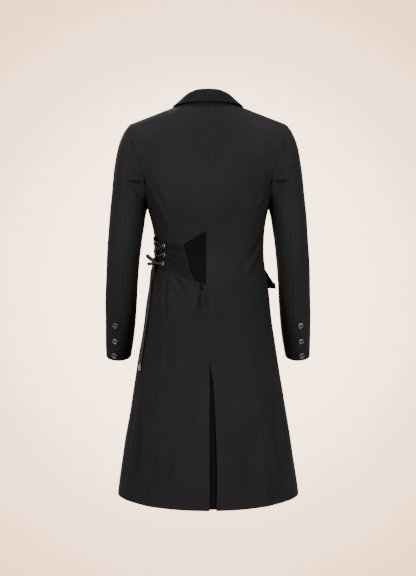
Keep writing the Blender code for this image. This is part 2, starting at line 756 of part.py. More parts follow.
def add_collar(made):
    """Collar with its stand and fall cut in one and folded over at the roll."""
    table = np.array(COLLAR).reshape(-1, 3, 3)
    half = []
    for i in range(len(table) * 2 - 1):
        low, high = i // 2, min(i // 2 + i % 2, len(table) - 1)
        half.append((table[low] + table[high]) / 2)
    mirror = np.array((-1, 1, 1))
    stations = [s * mirror for s in reversed(half[1:])] + half
    outer, inward = [], []
    for foot, roll, edge in stations:
        across = (edge - roll) * np.array((1, 1, 0))
        across = across / np.linalg.norm(across)
        up = np.array((0, 0, 0.001))
        far = roll + across * COLLAR_FOLD
        path = [foot, foot * 0.5 + roll * 0.5, roll, roll + across * 0.0020 + up * 2.8,
                roll + across * 0.0065 + up * 2.8, far,
                far * 0.5 + edge * 0.5 + across * 0.0010, edge]
        outer.append(path)
    outer = np.array(outer)
    for i in range(len(outer)):
        inward.append([])
        for j in range(8):
            a, b = outer[i, max(0, j - 1)], outer[i, min(7, j + 1)]
            c, d = outer[max(0, i - 1), j], outer[min(len(outer) - 1, i + 1), j]
            normal = np.cross(d - c, b - a)
            inward[-1].append(-normal / np.linalg.norm(normal))
    cloth_solid("collar", outer, np.array(inward), COLLAR_CLOTH, made)


def surface_of(*pieces):
    """Search tree of some pieces' faces."""
    points, faces = [], []
    for piece in pieces:
        start = len(points)
        points += [vertex.co.copy() for vertex in piece.data.vertices]
        faces += [tuple(start + i for i in polygon.vertices) for polygon in piece.data.polygons]
    return BVHTree.FromPolygons(points, faces)


def on_cloth(tree, side, turn, height, lift):
    """Place at a distance outside the cloth that lies under it, and the way out."""
    place, normal = body_place(side, turn, height)
    way = Vector(normal)
    hit = tree.ray_cast(Vector(place) + way * 0.03, -way, 0.06)[0]
    if hit is None:
        hit = tree.find_nearest(Vector(place))[0]
    return np.array(hit) + normal * lift, normal


def lying_piece(name, side, tree, grid, made, thick=CLOTH, lift=None):
    """Cloth piece lying just clear of the cloth in a search tree, from turns and heights."""
    extra = 0.0
    while True:
        outer, inward = [], []
        for row in grid:
            outer.append([])
            inward.append([])
            for turn, height in row:
                rise = LIE + extra + (lift(turn, height) if lift else 0.0)
                place, normal = on_cloth(tree, side, turn, height, rise + thick)
                outer[-1].append(place)
                inward[-1].append(-normal)
        piece = cloth_solid(name, outer, inward, thick, made)
        if extra > 0.002 or not surface_of(piece).overlap(tree):
            return piece
        bpy.data.objects.remove(piece, do_unlink=True)
        extra += 0.00015


def add_lapels(made, fronts):
    """Lapels lying on the fronts, turned back along the roll line."""
    lines = dense([(roll_z, out, edge_z) for roll_z, out, edge_z in LAPEL])
    for side, word in ((LEFT, "left"), (RIGHT, "right")):
        tree = surface_of(*fronts)
        grid = []
        for j in range(11):
            height = LAPEL[-1][0] + (LAPEL[0][0] - LAPEL[-1][0]) * j / 10
            inner = read(ROLL, height)[0] + 0.001
            out, edge_height = read(lines, height)
            row = []
            for i in range(8):
                share = i / 7
                place = inner + (out - inner) * share
                level = height + (edge_height - height) * share
                row.append((turn_at(place, level, True), level))
            grid.append(row)
        lying_piece("lapel_" + word, side, tree, grid, made)


def resample(line, count):
    """Points spaced evenly along a line of pairs or places."""
    line = np.array(line, float)
    along = np.concatenate([[0], np.cumsum(np.linalg.norm(np.diff(line, axis=0), axis=1))])
    at = np.linspace(0, along[-1], count)
    return np.stack([np.interp(at, along, column) for column in line.T], axis=1)


def smooth_line(points, count):
    """Points spaced along a smooth line through some points."""
    table = dense([(i, *point) for i, point in enumerate(points)], 0.02)
    line = [read(table, at) for at in np.linspace(0, len(points) - 1, 12 * len(points))]
    return resample(line, count)


def as_turns(grid):
    """A grid of distances out and heights as turns and heights on the coat's left."""
    return [[(turn_at(out - read(BODY, z)[4], z), z) for out, z in row] for row in grid]


def tab_lift(turn, height):
    """How far the waist tab stands off the coat towards its eyelets."""
    return TAB_LIFT * soft_step((EYELET_TURN_BACK + 14.0 - turn) / 11.0)


def side_tab_lift(turn, height):
    """How far the side tab stands off the coat towards its eyelets."""
    return TAB_LIFT * soft_step((turn - 6.0) / 11.0)


def spun(name, centre, axis, profile, steps, made):
    """Piece turned round an axis from pairs of distance and height."""
    axis = Vector(axis).normalized()
    one = axis.orthogonal().normalized()
    two = axis.cross(one)
    points, rings = [], []
    for reach, rise in profile:
        if reach == 0:
            rings.append([len(points)] * steps)
            points.append(Vector(centre) + axis * rise)
            continue
        rings.append([len(points) + i for i in range(steps)])
        for i in range(steps):
            angle = 2 * math.pi * i / steps
            way = one * math.cos(angle) + two * math.sin(angle)
            points.append(Vector(centre) + way * reach + axis * rise)
    faces = []
    closed = profile[0][0] > 0
    pairs = list(zip(rings, rings[1:])) + ([(rings[-1], rings[0])] if closed else [])
    for low, high in pairs:
        for i in range(steps):
            j = (i + 1) % steps
            face = [low[i], low[j], high[j], high[i]]
            kept = [v for n, v in enumerate(face) if v not in face[:n]]
            faces.append(tuple(kept))
    return solid(name, points, faces, made)


def cord(name, places, thick, made):
    """Round cord along some places."""
    curve = bpy.data.curves.new(name, "CURVE")
    curve.dimensions = "3D"
    curve.bevel_depth = thick / 2
    curve.bevel_resolution = 2
    curve.use_fill_caps = True
    line = curve.splines.new("POLY")
    line.points.add(len(places) - 1)
    for point, place in zip(line.points, places):
        point.co = (*place, 1.0)
    curve.materials.append(made)
    made_object = bpy.data.objects.new(name, curve)
    bpy.context.scene.collection.objects.link(made_object)
    return made_object


def add_tabs(cloth, dark, metal, tree):
    """Waist tab with its dark inset, the side tab, and the eyelets of both."""
    rows, columns = 8, 11
    end = [(TAB_TOP[0][0], z) for z in np.linspace(TAB_FOOT[0][1], TAB_TOP[0][1], rows)]
    edge = resample(INSET_EDGE, rows) + np.array((SEAM, 0))
    grid = blend(end, edge, resample(TAB_FOOT, columns), resample(TAB_TOP, columns))
    tab = lying_piece("waist_tab", LEFT, tree, as_turns(grid), cloth, CLOTH, tab_lift)
    middle = [(INSET_TOP[-1][0], z)
              for z in np.linspace(INSET_FOOT[-1][1], INSET_TOP[-1][1], rows)]
    grid = blend(resample(INSET_EDGE, rows) - np.array((SEAM, 0)), middle,
                 resample(INSET_FOOT, 7), resample(INSET_TOP, 7))
    lying_piece("tab_inset", LEFT, tree, as_turns(grid), dark)
    grid = []
    for j in range(8):
        row = []
        for i in range(10):
            turn = SIDE_TAB_FREE + (SIDE_TAB_END - SIDE_TAB_FREE) * i / 9
            foot = SIDE_TAB_FOOT[0] + (SIDE_TAB_FOOT[1] - SIDE_TAB_FOOT[0]) * i / 9
            top = SIDE_TAB_TOP[0] + (SIDE_TAB_TOP[1] - SIDE_TAB_TOP[0]) * i / 9
            row.append((turn, foot + (top - foot) * j / 7))
        grid.append(row)
    side_tab = lying_piece("side_tab", LEFT, tree, grid, cloth, CLOTH, side_tab_lift)
    for piece, word, turn, heights in (
            (tab, "back", EYELET_TURN_BACK, EYELET_Z_BACK),
            (side_tab, "side", EYELET_TURN_SIDE, EYELET_Z_SIDE)):
        base = surface_of(piece)
        for i, height in enumerate(heights):
            centre, way = on_cloth(base, LEFT, turn, height, 0.0)
            cutter = spun("cut_%s_%d" % (word, i + 1), centre, way,
                          ((0, -0.006), (TAB_HOLE, -0.006), (TAB_HOLE, 0.004), (0, 0.004)),
                          16, metal)
            cutter.hide_render = True
            cutter.display_type = "WIRE"
            hole = piece.modifiers.new("eyelet_hole_%d" % (i + 1), "BOOLEAN")
            hole.operation = "DIFFERENCE"
            hole.solver = "EXACT"
            hole.object = cutter
            low = 0.0005
            spun("eyelet_%s_%d" % (word, i + 1), centre, way,
                 ((EYELET_HOLE, -CLOTH - 0.0002), (EYELET_BARREL, -CLOTH - 0.0002),
                  (EYELET_BARREL, low), (EYELET_RIM, low),
                  (EYELET_RIM - 0.0008, low + EYELET_RIM_THICK),
                  (EYELET_HOLE, low + EYELET_RIM_THICK * 0.8)), 12, metal)


def lace_place(tree, turn, height, off):
    """Place of the lace over the cloth of the coat's left."""
    return on_cloth(tree, LEFT, turn, height, off)[0]


def eyelet_pass(tree, eye, before, after, down):
    """Places of the lace through an eyelet, between the ways it comes and leaves."""
    turn, height = eye
    degree = 0.0021
    places = []
    for toward, close in ((before, True), (after, False)):
        way = np.array(((toward[0] - turn) * degree, toward[1] - height))
        way = way / np.linalg.norm(way)
        top = down == close
        level = LACE_HIGH if top else LACE_LOW
        bend = level - 0.0006 if top else level + 0.0007
        steps = [(0.0042, level), (0.0018, level - 0.0001 if top else level + 0.0001),
                 (0.0006, bend - 0.0004 if top else bend + 0.0003)]
        run = [lace_place(tree, turn + way[0] / degree * far, height + way[1] * far, off)
               for far, off in steps]
        if close:
            places += run + [lace_place(tree, turn, height, 0.0075 if down else 0.0054)]
        else:
            places += [lace_place(tree, turn, height, 0.0054 if down else 0.0075)]
            places += run[::-1]
    return places


def lacing_route(tree):
    """Places of the lace from the knot through every eyelet and back to the knot."""
    back = [(EYELET_TURN_BACK, z) for z in EYELET_Z_BACK]
    near = [(EYELET_TURN_SIDE, z) for z in EYELET_Z_SIDE]
    knot = KNOT[:2]
    stops = ((back[2], True), (near[1], True), (back[0], True), (near[0], False),
             (back[1], False), (near[2], False))
    eyes = [knot] + [eye for eye, _ in stops] + [knot]
    route = [lace_place(tree, 31.1, -0.4256, 0.0128), lace_place(tree, 34.0, -0.4264, 0.0112)]
    for i, (eye, down) in enumerate(stops):
        route += eyelet_pass(tree, eye, eyes[i], eyes[i + 2], down)
        if i == len(stops) - 1:
            break
        nxt, low = stops[i + 1][0], down
        rises = stops[i + 1][1] == down
        shares = (0.32, 0.52, 0.70) if eye[0] == EYELET_TURN_BACK else (0.28, 0.49, 0.63)
        for step, share in enumerate(shares if rises else (0.35, 0.65)):
            off = LACE_LOW
            if rises:
                start, end = (LACE_LOW, 0.0096) if low else (LACE_HIGH, LACE_LOW)
                off = (start, start + (0.0004 if low else -0.0034), end)[step]
            route.append(lace_place(tree, eye[0] + (nxt[0] - eye[0]) * share,
                                    eye[1] + (nxt[1] - eye[1]) * share, off))
    route += [lace_place(tree, 23.5, -0.4160, 0.0116), lace_place(tree, 27.5, -0.4216, 0.0127)]
    return route


def add_lace(made, metal, tree):
    """The lace, its bow and hanging ends, and the metal tips."""
    cord("lace_lacing", lacing_route(tree), LACE, made)
    turn, height, off = KNOT
    centre, way = on_cloth(tree, LEFT, turn, height, off)
    r = KNOT_RADIUS
    spun("lace_knot", centre, (1.0, 0.3, -0.9),
         [(r * math.sin(a), -r * math.cos(a)) for a in np.linspace(0, math.pi, 7)], 10, made)
    cord("lace_loop_up", smooth_line(LOOP_UP, LOOP_POINTS) + centre, LACE, made)
    cord("lace_loop_down", smooth_line(LOOP_DOWN, LOOP_POINTS) + centre, LACE, made)
    found = [on_cloth(tree, LEFT, *row) for row in smooth_line(STRAND, STRAND_POINTS)]
    middle = np.array([place for place, _ in found])
    sideways = np.cross([normal for _, normal in found], np.gradient(middle, axis=0))
    sideways /= np.linalg.norm(sideways, axis=1)[:, None]
    apart = np.linspace(*STRAND_APART, STRAND_POINTS)[:, None] / 2
    for number, sign in ((1, -1), (2, 1)):
        places = middle + sideways * apart * sign
        places = resample(places, STRAND_POINTS)
        way = places[-4] - places[-5]
        for back in (3, 2, 1):
            places[-back] = places[-back - 1] + way
        cord("lace_end_%d" % number, places, LACE, made)
        low, high = -TIP_LENGTH / 2, TIP_LENGTH / 2
        axis = way / np.linalg.norm(way)
        spun("lace_tip_%d" % number, places[-1] - axis * (high + TIP_TAIL), axis,
             ((TIP_INNER, low), (TIP_OUTER, low), (TIP_OUTER, high), (TIP_INNER, high)),
             10, metal)


def add_flaps(made, horn, sides, fronts):
    """Pocket flaps over the hips, each with its button."""
    for side, rear, fore, height, drop, rear_off, fore_off in FLAPS:
        word = "left" if side == LEFT else "right"
        tree = surface_of(*(sides + fronts))
        grid = []
        for j in range(5):
            row = []
            for i in range(9):
                turn = rear + (fore - rear) * i / 8
                row.append((turn, height - drop * j / 4 + 0.006 * i / 8))
            grid.append(row)

        def lift(turn, z):
            along = (turn - rear) / (fore - rear)
            down = soft_step((height + 0.006 * along - z) / drop) ** 0.8
            return down * (fore_off + (rear_off - fore_off) * (1 - along) ** 1.6)

        flap = lying_piece("pocket_flap_" + word, side, tree, grid, made, CLOTH, lift)
        place = rear + (fore - rear) * 0.13
        centre, way = on_cloth(surface_of(flap), side, place, height - drop * 0.80, 0.0009)
        outward = way * np.array((1, 1, 0)) + np.array((0, 0, 0.30))
        spun("flap_button_" + word, centre, outward, BUTTON, 10, horn)


def add_buttons(horn, fronts):
    """Buttons of the cuffs and of the front."""
    for side, word in ((LEFT, "left"), (RIGHT, "right")):
        for i, along in enumerate(CUFF_BUTTONS):
            place, normal = arm_place(math.radians(CUFF_BUTTON_TURN), along, 0.0005)
            flip = np.array((side, 1, 1))
            spun("cuff_button_%s_%d" % (word, i + 1), place * flip, normal * flip, BUTTON,
                 10, horn)
    tree = surface_of(fronts[0])
    for i, height in enumerate(FRONT_BUTTON_Z):
        place, normal = on_cloth(tree, LEFT, turn_at(0.001, height, True), height, 0.0006)
        spun("front_button_%d" % (i + 1), place, normal, BUTTON, 10, horn)


def clear():
    """Removes what the start scene holds."""
    for found in list(bpy.data.objects):
        bpy.data.objects.remove(found, do_unlink=True)


def main():
    """Builds the coat."""
    clear()
    cloth = material("coat_cloth", (0.020, 0.020, 0.023), 0.85, 0.0, 0.3)
    dark = material("tab_inset_cloth", (0.007, 0.007, 0.008), 0.70, 0.0, 0.2)
    shade = material("vent_cloth", (0.008, 0.008, 0.009), 0.90)
    satin = material("lace_satin", (0.010, 0.010, 0.012), 0.35)
    metal = material("eyelet_metal", (0.55, 0.55, 0.57), 0.30, 1.0)
    horn = material("button_gunmetal", (0.10, 0.10, 0.11), 0.25, 0.9)
    backs = add_backs(cloth)
    sides = add_side_backs(cloth)
    fronts = add_fronts(cloth)
    add_underlap(shade)
    add_sleeves(cloth)
    add_collar(cloth)
    add_lapels(cloth, fronts)
    tree = surface_of(backs[0], sides[0])
    add_tabs(cloth, dark, metal, tree)
    add_lace(satin, metal, tree)
    add_flaps(cloth, horn, sides, fronts)
    add_buttons(horn, fronts)


main()
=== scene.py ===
"""The looks of a black frock coat, seen from the back and filled out with no wearer."""

import logging
import math
from dataclasses import dataclass
from enum import Enum
from typing import Any, Callable, Iterable, Sequence

import bmesh
import bpy
import numpy as np
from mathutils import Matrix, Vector
from mathutils.bvhtree import BVHTree
from mathutils.kdtree import KDTree


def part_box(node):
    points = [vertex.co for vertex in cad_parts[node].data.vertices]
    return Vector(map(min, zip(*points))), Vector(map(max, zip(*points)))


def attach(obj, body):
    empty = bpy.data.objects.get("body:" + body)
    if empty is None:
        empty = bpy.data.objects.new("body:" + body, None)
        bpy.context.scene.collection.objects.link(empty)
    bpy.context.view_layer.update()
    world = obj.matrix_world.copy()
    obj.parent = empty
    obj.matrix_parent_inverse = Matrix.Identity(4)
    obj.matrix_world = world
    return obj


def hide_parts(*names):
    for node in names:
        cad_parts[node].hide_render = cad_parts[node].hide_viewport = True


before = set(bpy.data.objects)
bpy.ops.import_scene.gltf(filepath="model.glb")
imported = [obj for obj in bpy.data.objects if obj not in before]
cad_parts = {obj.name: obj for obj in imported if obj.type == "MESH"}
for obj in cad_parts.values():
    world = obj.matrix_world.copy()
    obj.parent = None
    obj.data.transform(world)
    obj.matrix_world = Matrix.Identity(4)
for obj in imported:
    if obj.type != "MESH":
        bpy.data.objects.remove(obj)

LOG = logging.getLogger("frock_coat")
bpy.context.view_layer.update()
BODY = "root"
MM = 0.001
Place = tuple[float, float, float]
# Width, length and area of a piece of cloth laid flat
Cut = tuple[float, float, float]
# Inner and outer distance, number and height of a ring of beads
Beads = tuple[float, float, int, float]
Profile = Sequence[tuple[float, float]]
Ways = Callable[[np.ndarray], np.ndarray]
Piece = bpy.types.Object
Finish = bpy.types.Material
Mesh = bpy.types.Mesh


class Facing(Enum):
    """The side of the coat that a crease is drawn from, as the way a ray goes into it."""

    BACK = (0.0, -1.0, 0.0)
    FRONT = (0.0, 1.0, 0.0)
    LEFT = (-1.0, 0.0, 0.0)
    RIGHT = (1.0, 0.0, 0.0)


class Fineness(Enum):
    """How many times a solid's faces are halved before it is creased."""

    PANEL = 3
    TRIM = 2


# Finishes


class Value:
    """A socket that takes part in sums: an expression on values adds its own Math nodes."""

    def __init__(self, bench: "Bench", socket: bpy.types.NodeSocket) -> None:
        """Keeps the material's bench and the socket."""
        self.bench = bench
        self.socket = socket

    def maths(self, operation: str, *others: Any) -> "Value":
        """Adds a Math node on this value and others."""
        return self.bench.node("ShaderNodeMath", {"operation": operation},
                               dict(enumerate((self, *others))))

    def __add__(self, other: Any) -> "Value":
        """Sum."""
        return self.maths("ADD", other)

    __radd__ = __add__

    def __sub__(self, other: Any) -> "Value":
        """Difference."""
        return self.maths("SUBTRACT", other)

    def __rsub__(self, other: Any) -> "Value":
        """Difference from a number."""
        return self.bench.node("ShaderNodeMath", {"operation": "SUBTRACT"}, {0: other, 1: self})

    def __mul__(self, other: Any) -> "Value":
        """Product."""
        return self.maths("MULTIPLY", other)

    __rmul__ = __mul__

    def __truediv__(self, other: Any) -> "Value":
        """Quotient."""
        return self.maths("DIVIDE", other)

    def __pow__(self, other: Any) -> "Value":
        """Power."""
        return self.maths("POWER", other)

    def sine(self) -> "Value":
        """Sine of the value."""
        return self.maths("SINE")

    def size(self) -> "Value":
        """The value without its sign."""
        return self.maths("ABSOLUTE")

    def step(self, low: float, high: float) -> "Value":
        """Rises softly from 0 at the low value to 1 at the high one."""
        return self.bench.node("ShaderNodeMapRange", {"interpolation_type": "SMOOTHSTEP"},
                               {0: self, 1: low, 2: high, 3: 0.0, 4: 1.0})


class Bench:
    """A material's node tree and the one method that adds a node to it."""

    def __init__(self, name: str) -> None:
        """Makes an empty material.

        Args:
            name: the material's name.
        """
        self.material = bpy.data.materials.new(name)
        self.material.use_nodes = True
        self.tree = self.material.node_tree
        self.tree.nodes.clear()

    def node(self, kind: str, settings: dict[str, Any] | None = None,
             sockets: dict[Any, Any] | None = None, out: Any = 0) -> Value:
        """Adds a node.

        Args:
            kind: the node's type.
            settings: its settings, set first. "stops" are a colour ramp's stops.
            sockets: values or links of its inputs, by name or number.
            out: name or number of the output that is given back.

        Returns:
            The output as a value.
        """
        made = self.tree.nodes.new(kind)
        for key, setting in (settings or {}).items():
            if key == "stops":
                ramp = made.color_ramp
                while len(ramp.elements) < len(setting):
                    ramp.elements.new(0.5)
                for element, (place, colour) in zip(ramp.elements, setting):
                    element.position, element.color = place, (*colour, 1.0)
            else:
                setattr(made, key, setting)
        for key, item in (sockets or {}).items():
            if isinstance(item, Value):
                self.tree.links.new(item.socket, made.inputs[key])
            else:
                colour = made.inputs[key].type == "RGBA" and len(item) == 3
                made.inputs[key].default_value = (*item, 1.0) if colour else item
        return Value(self, made.outputs[out])

    def mix(self, first: Any, second: Any, share: Any) -> Value:
        """Mixes two colours, with the second's share from 0 to 1."""
        colours = [(*c, 1.0) if isinstance(c, tuple) else c for c in (first, second)]
        return self.node("ShaderNodeMix", {"data_type": "RGBA"},
                         {0: share, 6: colours[0], 7: colours[1]}, 2)

    def noise(self, place: Value, scale: float, detail: float = 3.0) -> Value:
        """Soft noise of 0 to 1 at a place."""
        return self.node("ShaderNodeTexNoise", None,
                         {"Vector": place, "Scale": scale, "Detail": detail})

    def kept(self, name: str, out: str = "Fac") -> Value:
        """A number or vector that the mesh keeps for each point."""
        return self.node("ShaderNodeAttribute", {"attribute_name": name}, None, out)

    def own_place(self) -> Value:
        """Where a point is in its piece's own axes."""
        return self.node("ShaderNodeTexCoord", None, None, "Object")

    def parts(self, vector: Value) -> list[Value]:
        """The three parts of a vector."""
        split = self.node("ShaderNodeSeparateXYZ", None, {0: vector})
        return [Value(self, socket) for socket in split.socket.node.outputs]

    def finish(self, sockets: dict[str, Any], height: Value) -> Finish:
        """Adds the shader, its bump and the material's output.

        Args:
            sockets: inputs of the shader.
            height: relief in millimetres.

        Returns:
            The material.
        """
        bump = self.node("ShaderNodeBump", None,
                         {"Height": height, "Distance": MM, "Strength": 1.0})
        shader = self.node("ShaderNodeBsdfPrincipled", None, {**sockets, "Normal": bump})
        output = self.tree.nodes.new("ShaderNodeOutputMaterial")
        self.tree.links.new(shader.socket, output.inputs[0])
        return self.material


@dataclass(frozen=True)
class Wool:
    """Black wool cloth in a fine twill, pressed at its seams, with painted shade in its seams,
    stitch grooves and crease troughs.
    """

    name: str
    # Painted a little darker than the sleeves' copy of the same cloth: painted shade on the
    # body
    colour: Place = (0.0098, 0.0098, 0.0105)
    worn: Place = (0.0145, 0.0143, 0.0150)
    roughness: float = 0.74
    shine: float = 0.16
    twill: float = 0.0016
    twill_depth: float = 0.00010
    nap_depth: float = 0.00016
    fleck_depth: float = 0.00006
    rib_light: float = 0.30
    fleck_light: float = 0.35
    nap_light: float = 0.20
    cloud_light: float = 0.45
    cloud_scale: float = 5.5
    fleck_scale: float = 900.0
    nap_scale: float = 190.0
    seam_start: float = 0.0004
    seam_width: float = 0.0035
    seam_depth: float = 0.0006
    # Painted shade along the seams: how much of it and its colour
    seam_shade_share: float = 0.30
    seam_shade_colour: Place = (0.0035, 0.0035, 0.0040)
    # Painted shade in the troughs of the creases: how much of it and its colour
    crease_shade_share: float = 0.8
    crease_shade_colour: Place = (0.0012, 0.0012, 0.0014)
    stitch_at: float = 0.0
    stitch_pitch: float = 0.0032
    stitch_groove: float = 0.0004
    thread_height: float = 0.00022
    # Painted shade in the stitch groove
    stitch_shade_colour: Place = (0.0025, 0.0025, 0.0028)
    thread_colour: Place = (0.030, 0.030, 0.033)

    def dress(self) -> Finish:
        """Makes the material.

        Returns:
            The material.
        """
        bench = Bench(self.name)
        across, down, _ = bench.parts(bench.kept("weave", "Vector"))
        edge = bench.kept("edge")
        turn = 2 * math.pi / self.twill
        rib = ((across + down) * turn).sine() * 0.5 + 0.5
        yarn = ((across - down * 0.6) * (turn * 1.31)).sine() * 0.5 + 0.5
        place = bench.own_place()
        cloud = bench.noise(place, self.cloud_scale, 4.0)
        fleck = bench.noise(place, self.fleck_scale, 2.0)
        nap = bench.noise(place, self.nap_scale)
        seam = 1.0 - edge.step(self.seam_start, self.seam_width)
        pressed = 1.0 - edge.step(self.seam_width, self.seam_width * 3.2)
        light = (rib * self.rib_light + fleck * self.fleck_light + nap * self.nap_light
                 + cloud.step(0.30, 0.72) * self.cloud_light)
        colour = bench.mix(self.colour, self.worn, light)
        # Painted shade along the seams
        colour = bench.mix(colour, self.seam_shade_colour, seam * self.seam_shade_share)
        # Painted shade in the troughs of the creases
        colour = bench.mix(colour, self.crease_shade_colour, bench.kept("hollow") * self.crease_shade_share)
        rough = self.roughness + 0.10 * nap - 0.07 * cloud.step(0.35, 0.70) - 0.06 * pressed
        height = (rib * self.twill_depth + yarn * (self.twill_depth * 0.5)
                  + nap * self.nap_depth + fleck * self.fleck_depth - seam * self.seam_depth)
        if self.stitch_at:
            row = 1.0 - (edge - self.stitch_at).size().step(0.0002, 0.0010)
            dash = ((across * 0.8 + down * 1.3) * (2 * math.pi / self.stitch_pitch)).sine()
            thread = row * dash.step(-0.35, 0.25)
            height = height + thread * self.thread_height - row * self.stitch_groove
            # Painted shade in the stitch groove, then the thread's own lighter colour
            colour = bench.mix(colour, self.stitch_shade_colour, row * 0.5)
            colour = bench.mix(colour, self.thread_colour, thread * 0.55)
        return bench.finish({"Base Color": colour, "Roughness": rough,
                             "Specular IOR Level": self.shine}, height / MM)


@dataclass(frozen=True)
class Pile:
    """Deep black cloth of the inset, with painted shade in its seams; its near-black copy on
    the vent's underlap is painted shade.
    """

    name: str
    colour: Place = (0.0036, 0.0036, 0.0040)
    roughness: float = 0.86
    shine: float = 0.04
    lit: float = 1.9
    nap_scale: float = 420.0
    nap_depth: float = 0.00030
    cloud_scale: float = 16.0
    seam_start: float = 0.0004
    seam_width: float = 0.0030
    seam_depth: float = 0.0005
    seam_shade_colour: Place = (0.0015, 0.0015, 0.0018)

    def dress(self) -> Finish:
        """Makes the material.

        Returns:
            The material.
        """
        bench = Bench(self.name)
        place = bench.own_place()
        nap = bench.noise(place, self.nap_scale)
        cloud = bench.noise(place, self.cloud_scale)
        seam = 1.0 - bench.kept("edge").step(self.seam_start, self.seam_width)
        lit = tuple(self.lit * part for part in self.colour)
        colour = bench.mix(self.colour, lit, nap * 0.5 + cloud * 0.4)
        # Painted shade along the seams
        colour = bench.mix(colour, self.seam_shade_colour, seam * 0.6)
        height = nap * self.nap_depth - seam * self.seam_depth
        return bench.finish({"Base Color": colour, "Roughness": self.roughness - 0.1 * cloud,
                             "Specular IOR Level": self.shine}, height / MM)


@dataclass(frozen=True)
class Satin:
    """Black satin cord, braided, with painted sheen on its strands."""

    name: str
    colour: Place = (0.006, 0.006, 0.007)
    lit: Place = (0.034, 0.034, 0.038)
    roughness: float = 0.36
    shine: float = 0.50
    pitch: float = 0.0030
    strands: float = 3.0
    fuzz_scale: float = 700.0

    def dress(self) -> Finish:
        """Makes the material.

        Returns:
            The material.
        """
        bench = Bench(self.name)
        round_it, along, _ = bench.parts(bench.kept("weave", "Vector"))
        turn = 2 * math.pi / self.pitch
        one = (along * turn + round_it * self.strands).sine()
        two = (along * turn - round_it * self.strands).sine()
        braid = one.size() * 0.5 + two.size() * 0.5
        fuzz = bench.noise(bench.own_place(), self.fuzz_scale)
        # Painted sheen: the braid's strands lighter where they rise, with random fuzz
        colour = bench.mix(self.colour, self.lit, braid * 0.5 + fuzz * 0.2)
        rough = self.roughness + 0.25 * (1.0 - braid) + 0.08 * fuzz
        return bench.finish({"Base Color": colour, "Roughness": rough,
                             "Specular IOR Level": self.shine}, braid * 0.30 + fuzz * 0.08)


@dataclass(frozen=True)
class Metal:
    """Metal of the eyelets, tips and buttons, darker in its grooves and in soft patches."""

    name: str
    colour: Place
    dark: Place
    roughness: float
    groove: float
    cloud_scale: float = 260.0
    scratch_scale: float = 2400.0

    def dress(self) -> Finish:
        """Makes the material.

        Returns:
            The material.
        """
        bench = Bench(self.name)
        place = bench.own_place()
        cloud = bench.noise(place, self.cloud_scale)
        scratch = bench.noise(place, self.scratch_scale, 2.0)
        # Darker in the grooves and in soft patches
        darkening = bench.kept("groove") * self.groove + cloud.step(0.45, 0.75) * 0.30
        colour = bench.mix(self.colour, self.dark, darkening)
        rough = self.roughness + 0.18 * darkening + 0.10 * scratch
        return bench.finish({"Base Color": colour, "Roughness": rough, "Metallic": 1.0},
                            cloud * 0.05 + scratch * 0.02)


@dataclass(frozen=True)
class PaperSweep:
    """Pale warm paper of the studio that glows, lighter in its middle: a painted pool of light.
    """

    name: str = "studio_paper_glow"
    base: Place = (0.10, 0.092, 0.084)
    shine: float = 0.1
    # Painted pool of light: the glow is brightest in the middle and falls off outward
    rings: Sequence[tuple[float, Place]] = (
        # distance from the middle, glow
        (0.25, (0.450, 0.345, 0.262)), (0.66, (0.420, 0.305, 0.218)),
        (1.15, (0.300, 0.195, 0.128)), (1.47, (0.235, 0.147, 0.086)),
    )
    glow: float = 13.0
    heart: Place = (0.0, 3.0, -0.49)
    scale: float = 4.85
    least: float = 0.05
    grain_scale: float = 60.0

    def dress(self) -> Finish:
        """Makes the material, whose rings widen with the distance from their heart.

        Returns:
            The material.
        """
        bench = Bench(self.name)
        place = bench.own_place()
        across, back, height = bench.parts(place)
        reach = ((across - self.heart[0]) ** 2.0 + (height - self.heart[2]) ** 2.0) ** 0.5
        reach = reach * self.scale / ((self.heart[1] - back).size() + self.least)
        colour = self.rings[0][1]
        for (near, _), (far, ring) in zip(self.rings, self.rings[1:]):
            colour = bench.mix(colour, ring, reach.step(near, far))
        grain = bench.noise(place, self.grain_scale, 2.0)
        return bench.finish({"Base Color": self.base, "Roughness": 0.9 + 0.05 * grain,
                             "Specular IOR Level": self.shine, "Emission Color": colour,
                             "Emission Strength": self.glow}, grain * 0.2)


# Meshes

# Angles within which triangles are joined, and over which an edge is sharp
JOIN_FLAT = math.radians(25)
JOIN_SQUARE = math.radians(65)
SHARP_EDGE = math.radians(52)
ROUNDINGS = 5
# How near a seam's other side is, and how much of the gap each side crosses
SEAM_GAP = 0.0009
SEAM_SHARE = 0.75
# How much the ways across, back and up count in the way out of the body, and the
# height at which it starts to turn up
OUT_SHARES = (1.0, 1.5, 0.0)
UP = (0.0, 0.0, 1.0)
SHOULDER_START = -0.09
SHOULDER_DEPTH = 0.07


def points_of(mesh: Mesh) -> np.ndarray:
    """Finds where a mesh's points are.

    Args:
        mesh: the mesh.

    Returns:
        A row for each point.
    """
    places = np.empty(len(mesh.vertices) * 3)
    mesh.vertices.foreach_get("co", places)
    return places.reshape(-1, 3)


def move_points(mesh: Mesh, places: np.ndarray) -> None:
    """Puts a mesh's points at new places."""
    mesh.vertices.foreach_set("co", places.astype(np.float32).ravel())
    mesh.update()


def keep(mesh: Mesh, name: str, values: np.ndarray) -> None:
    """Keeps a number, or a vector, for each point of a mesh.

    Args:
        mesh: the mesh.
        name: the attribute's name.
        values: one number or three for each point.
    """
    kind = "FLOAT_VECTOR" if values.ndim == 2 else "FLOAT"
    slot = mesh.attributes.new(name, kind, "POINT")
    slot.data.foreach_set("vector" if values.ndim == 2 else "value",
                          values.astype(np.float32).ravel())


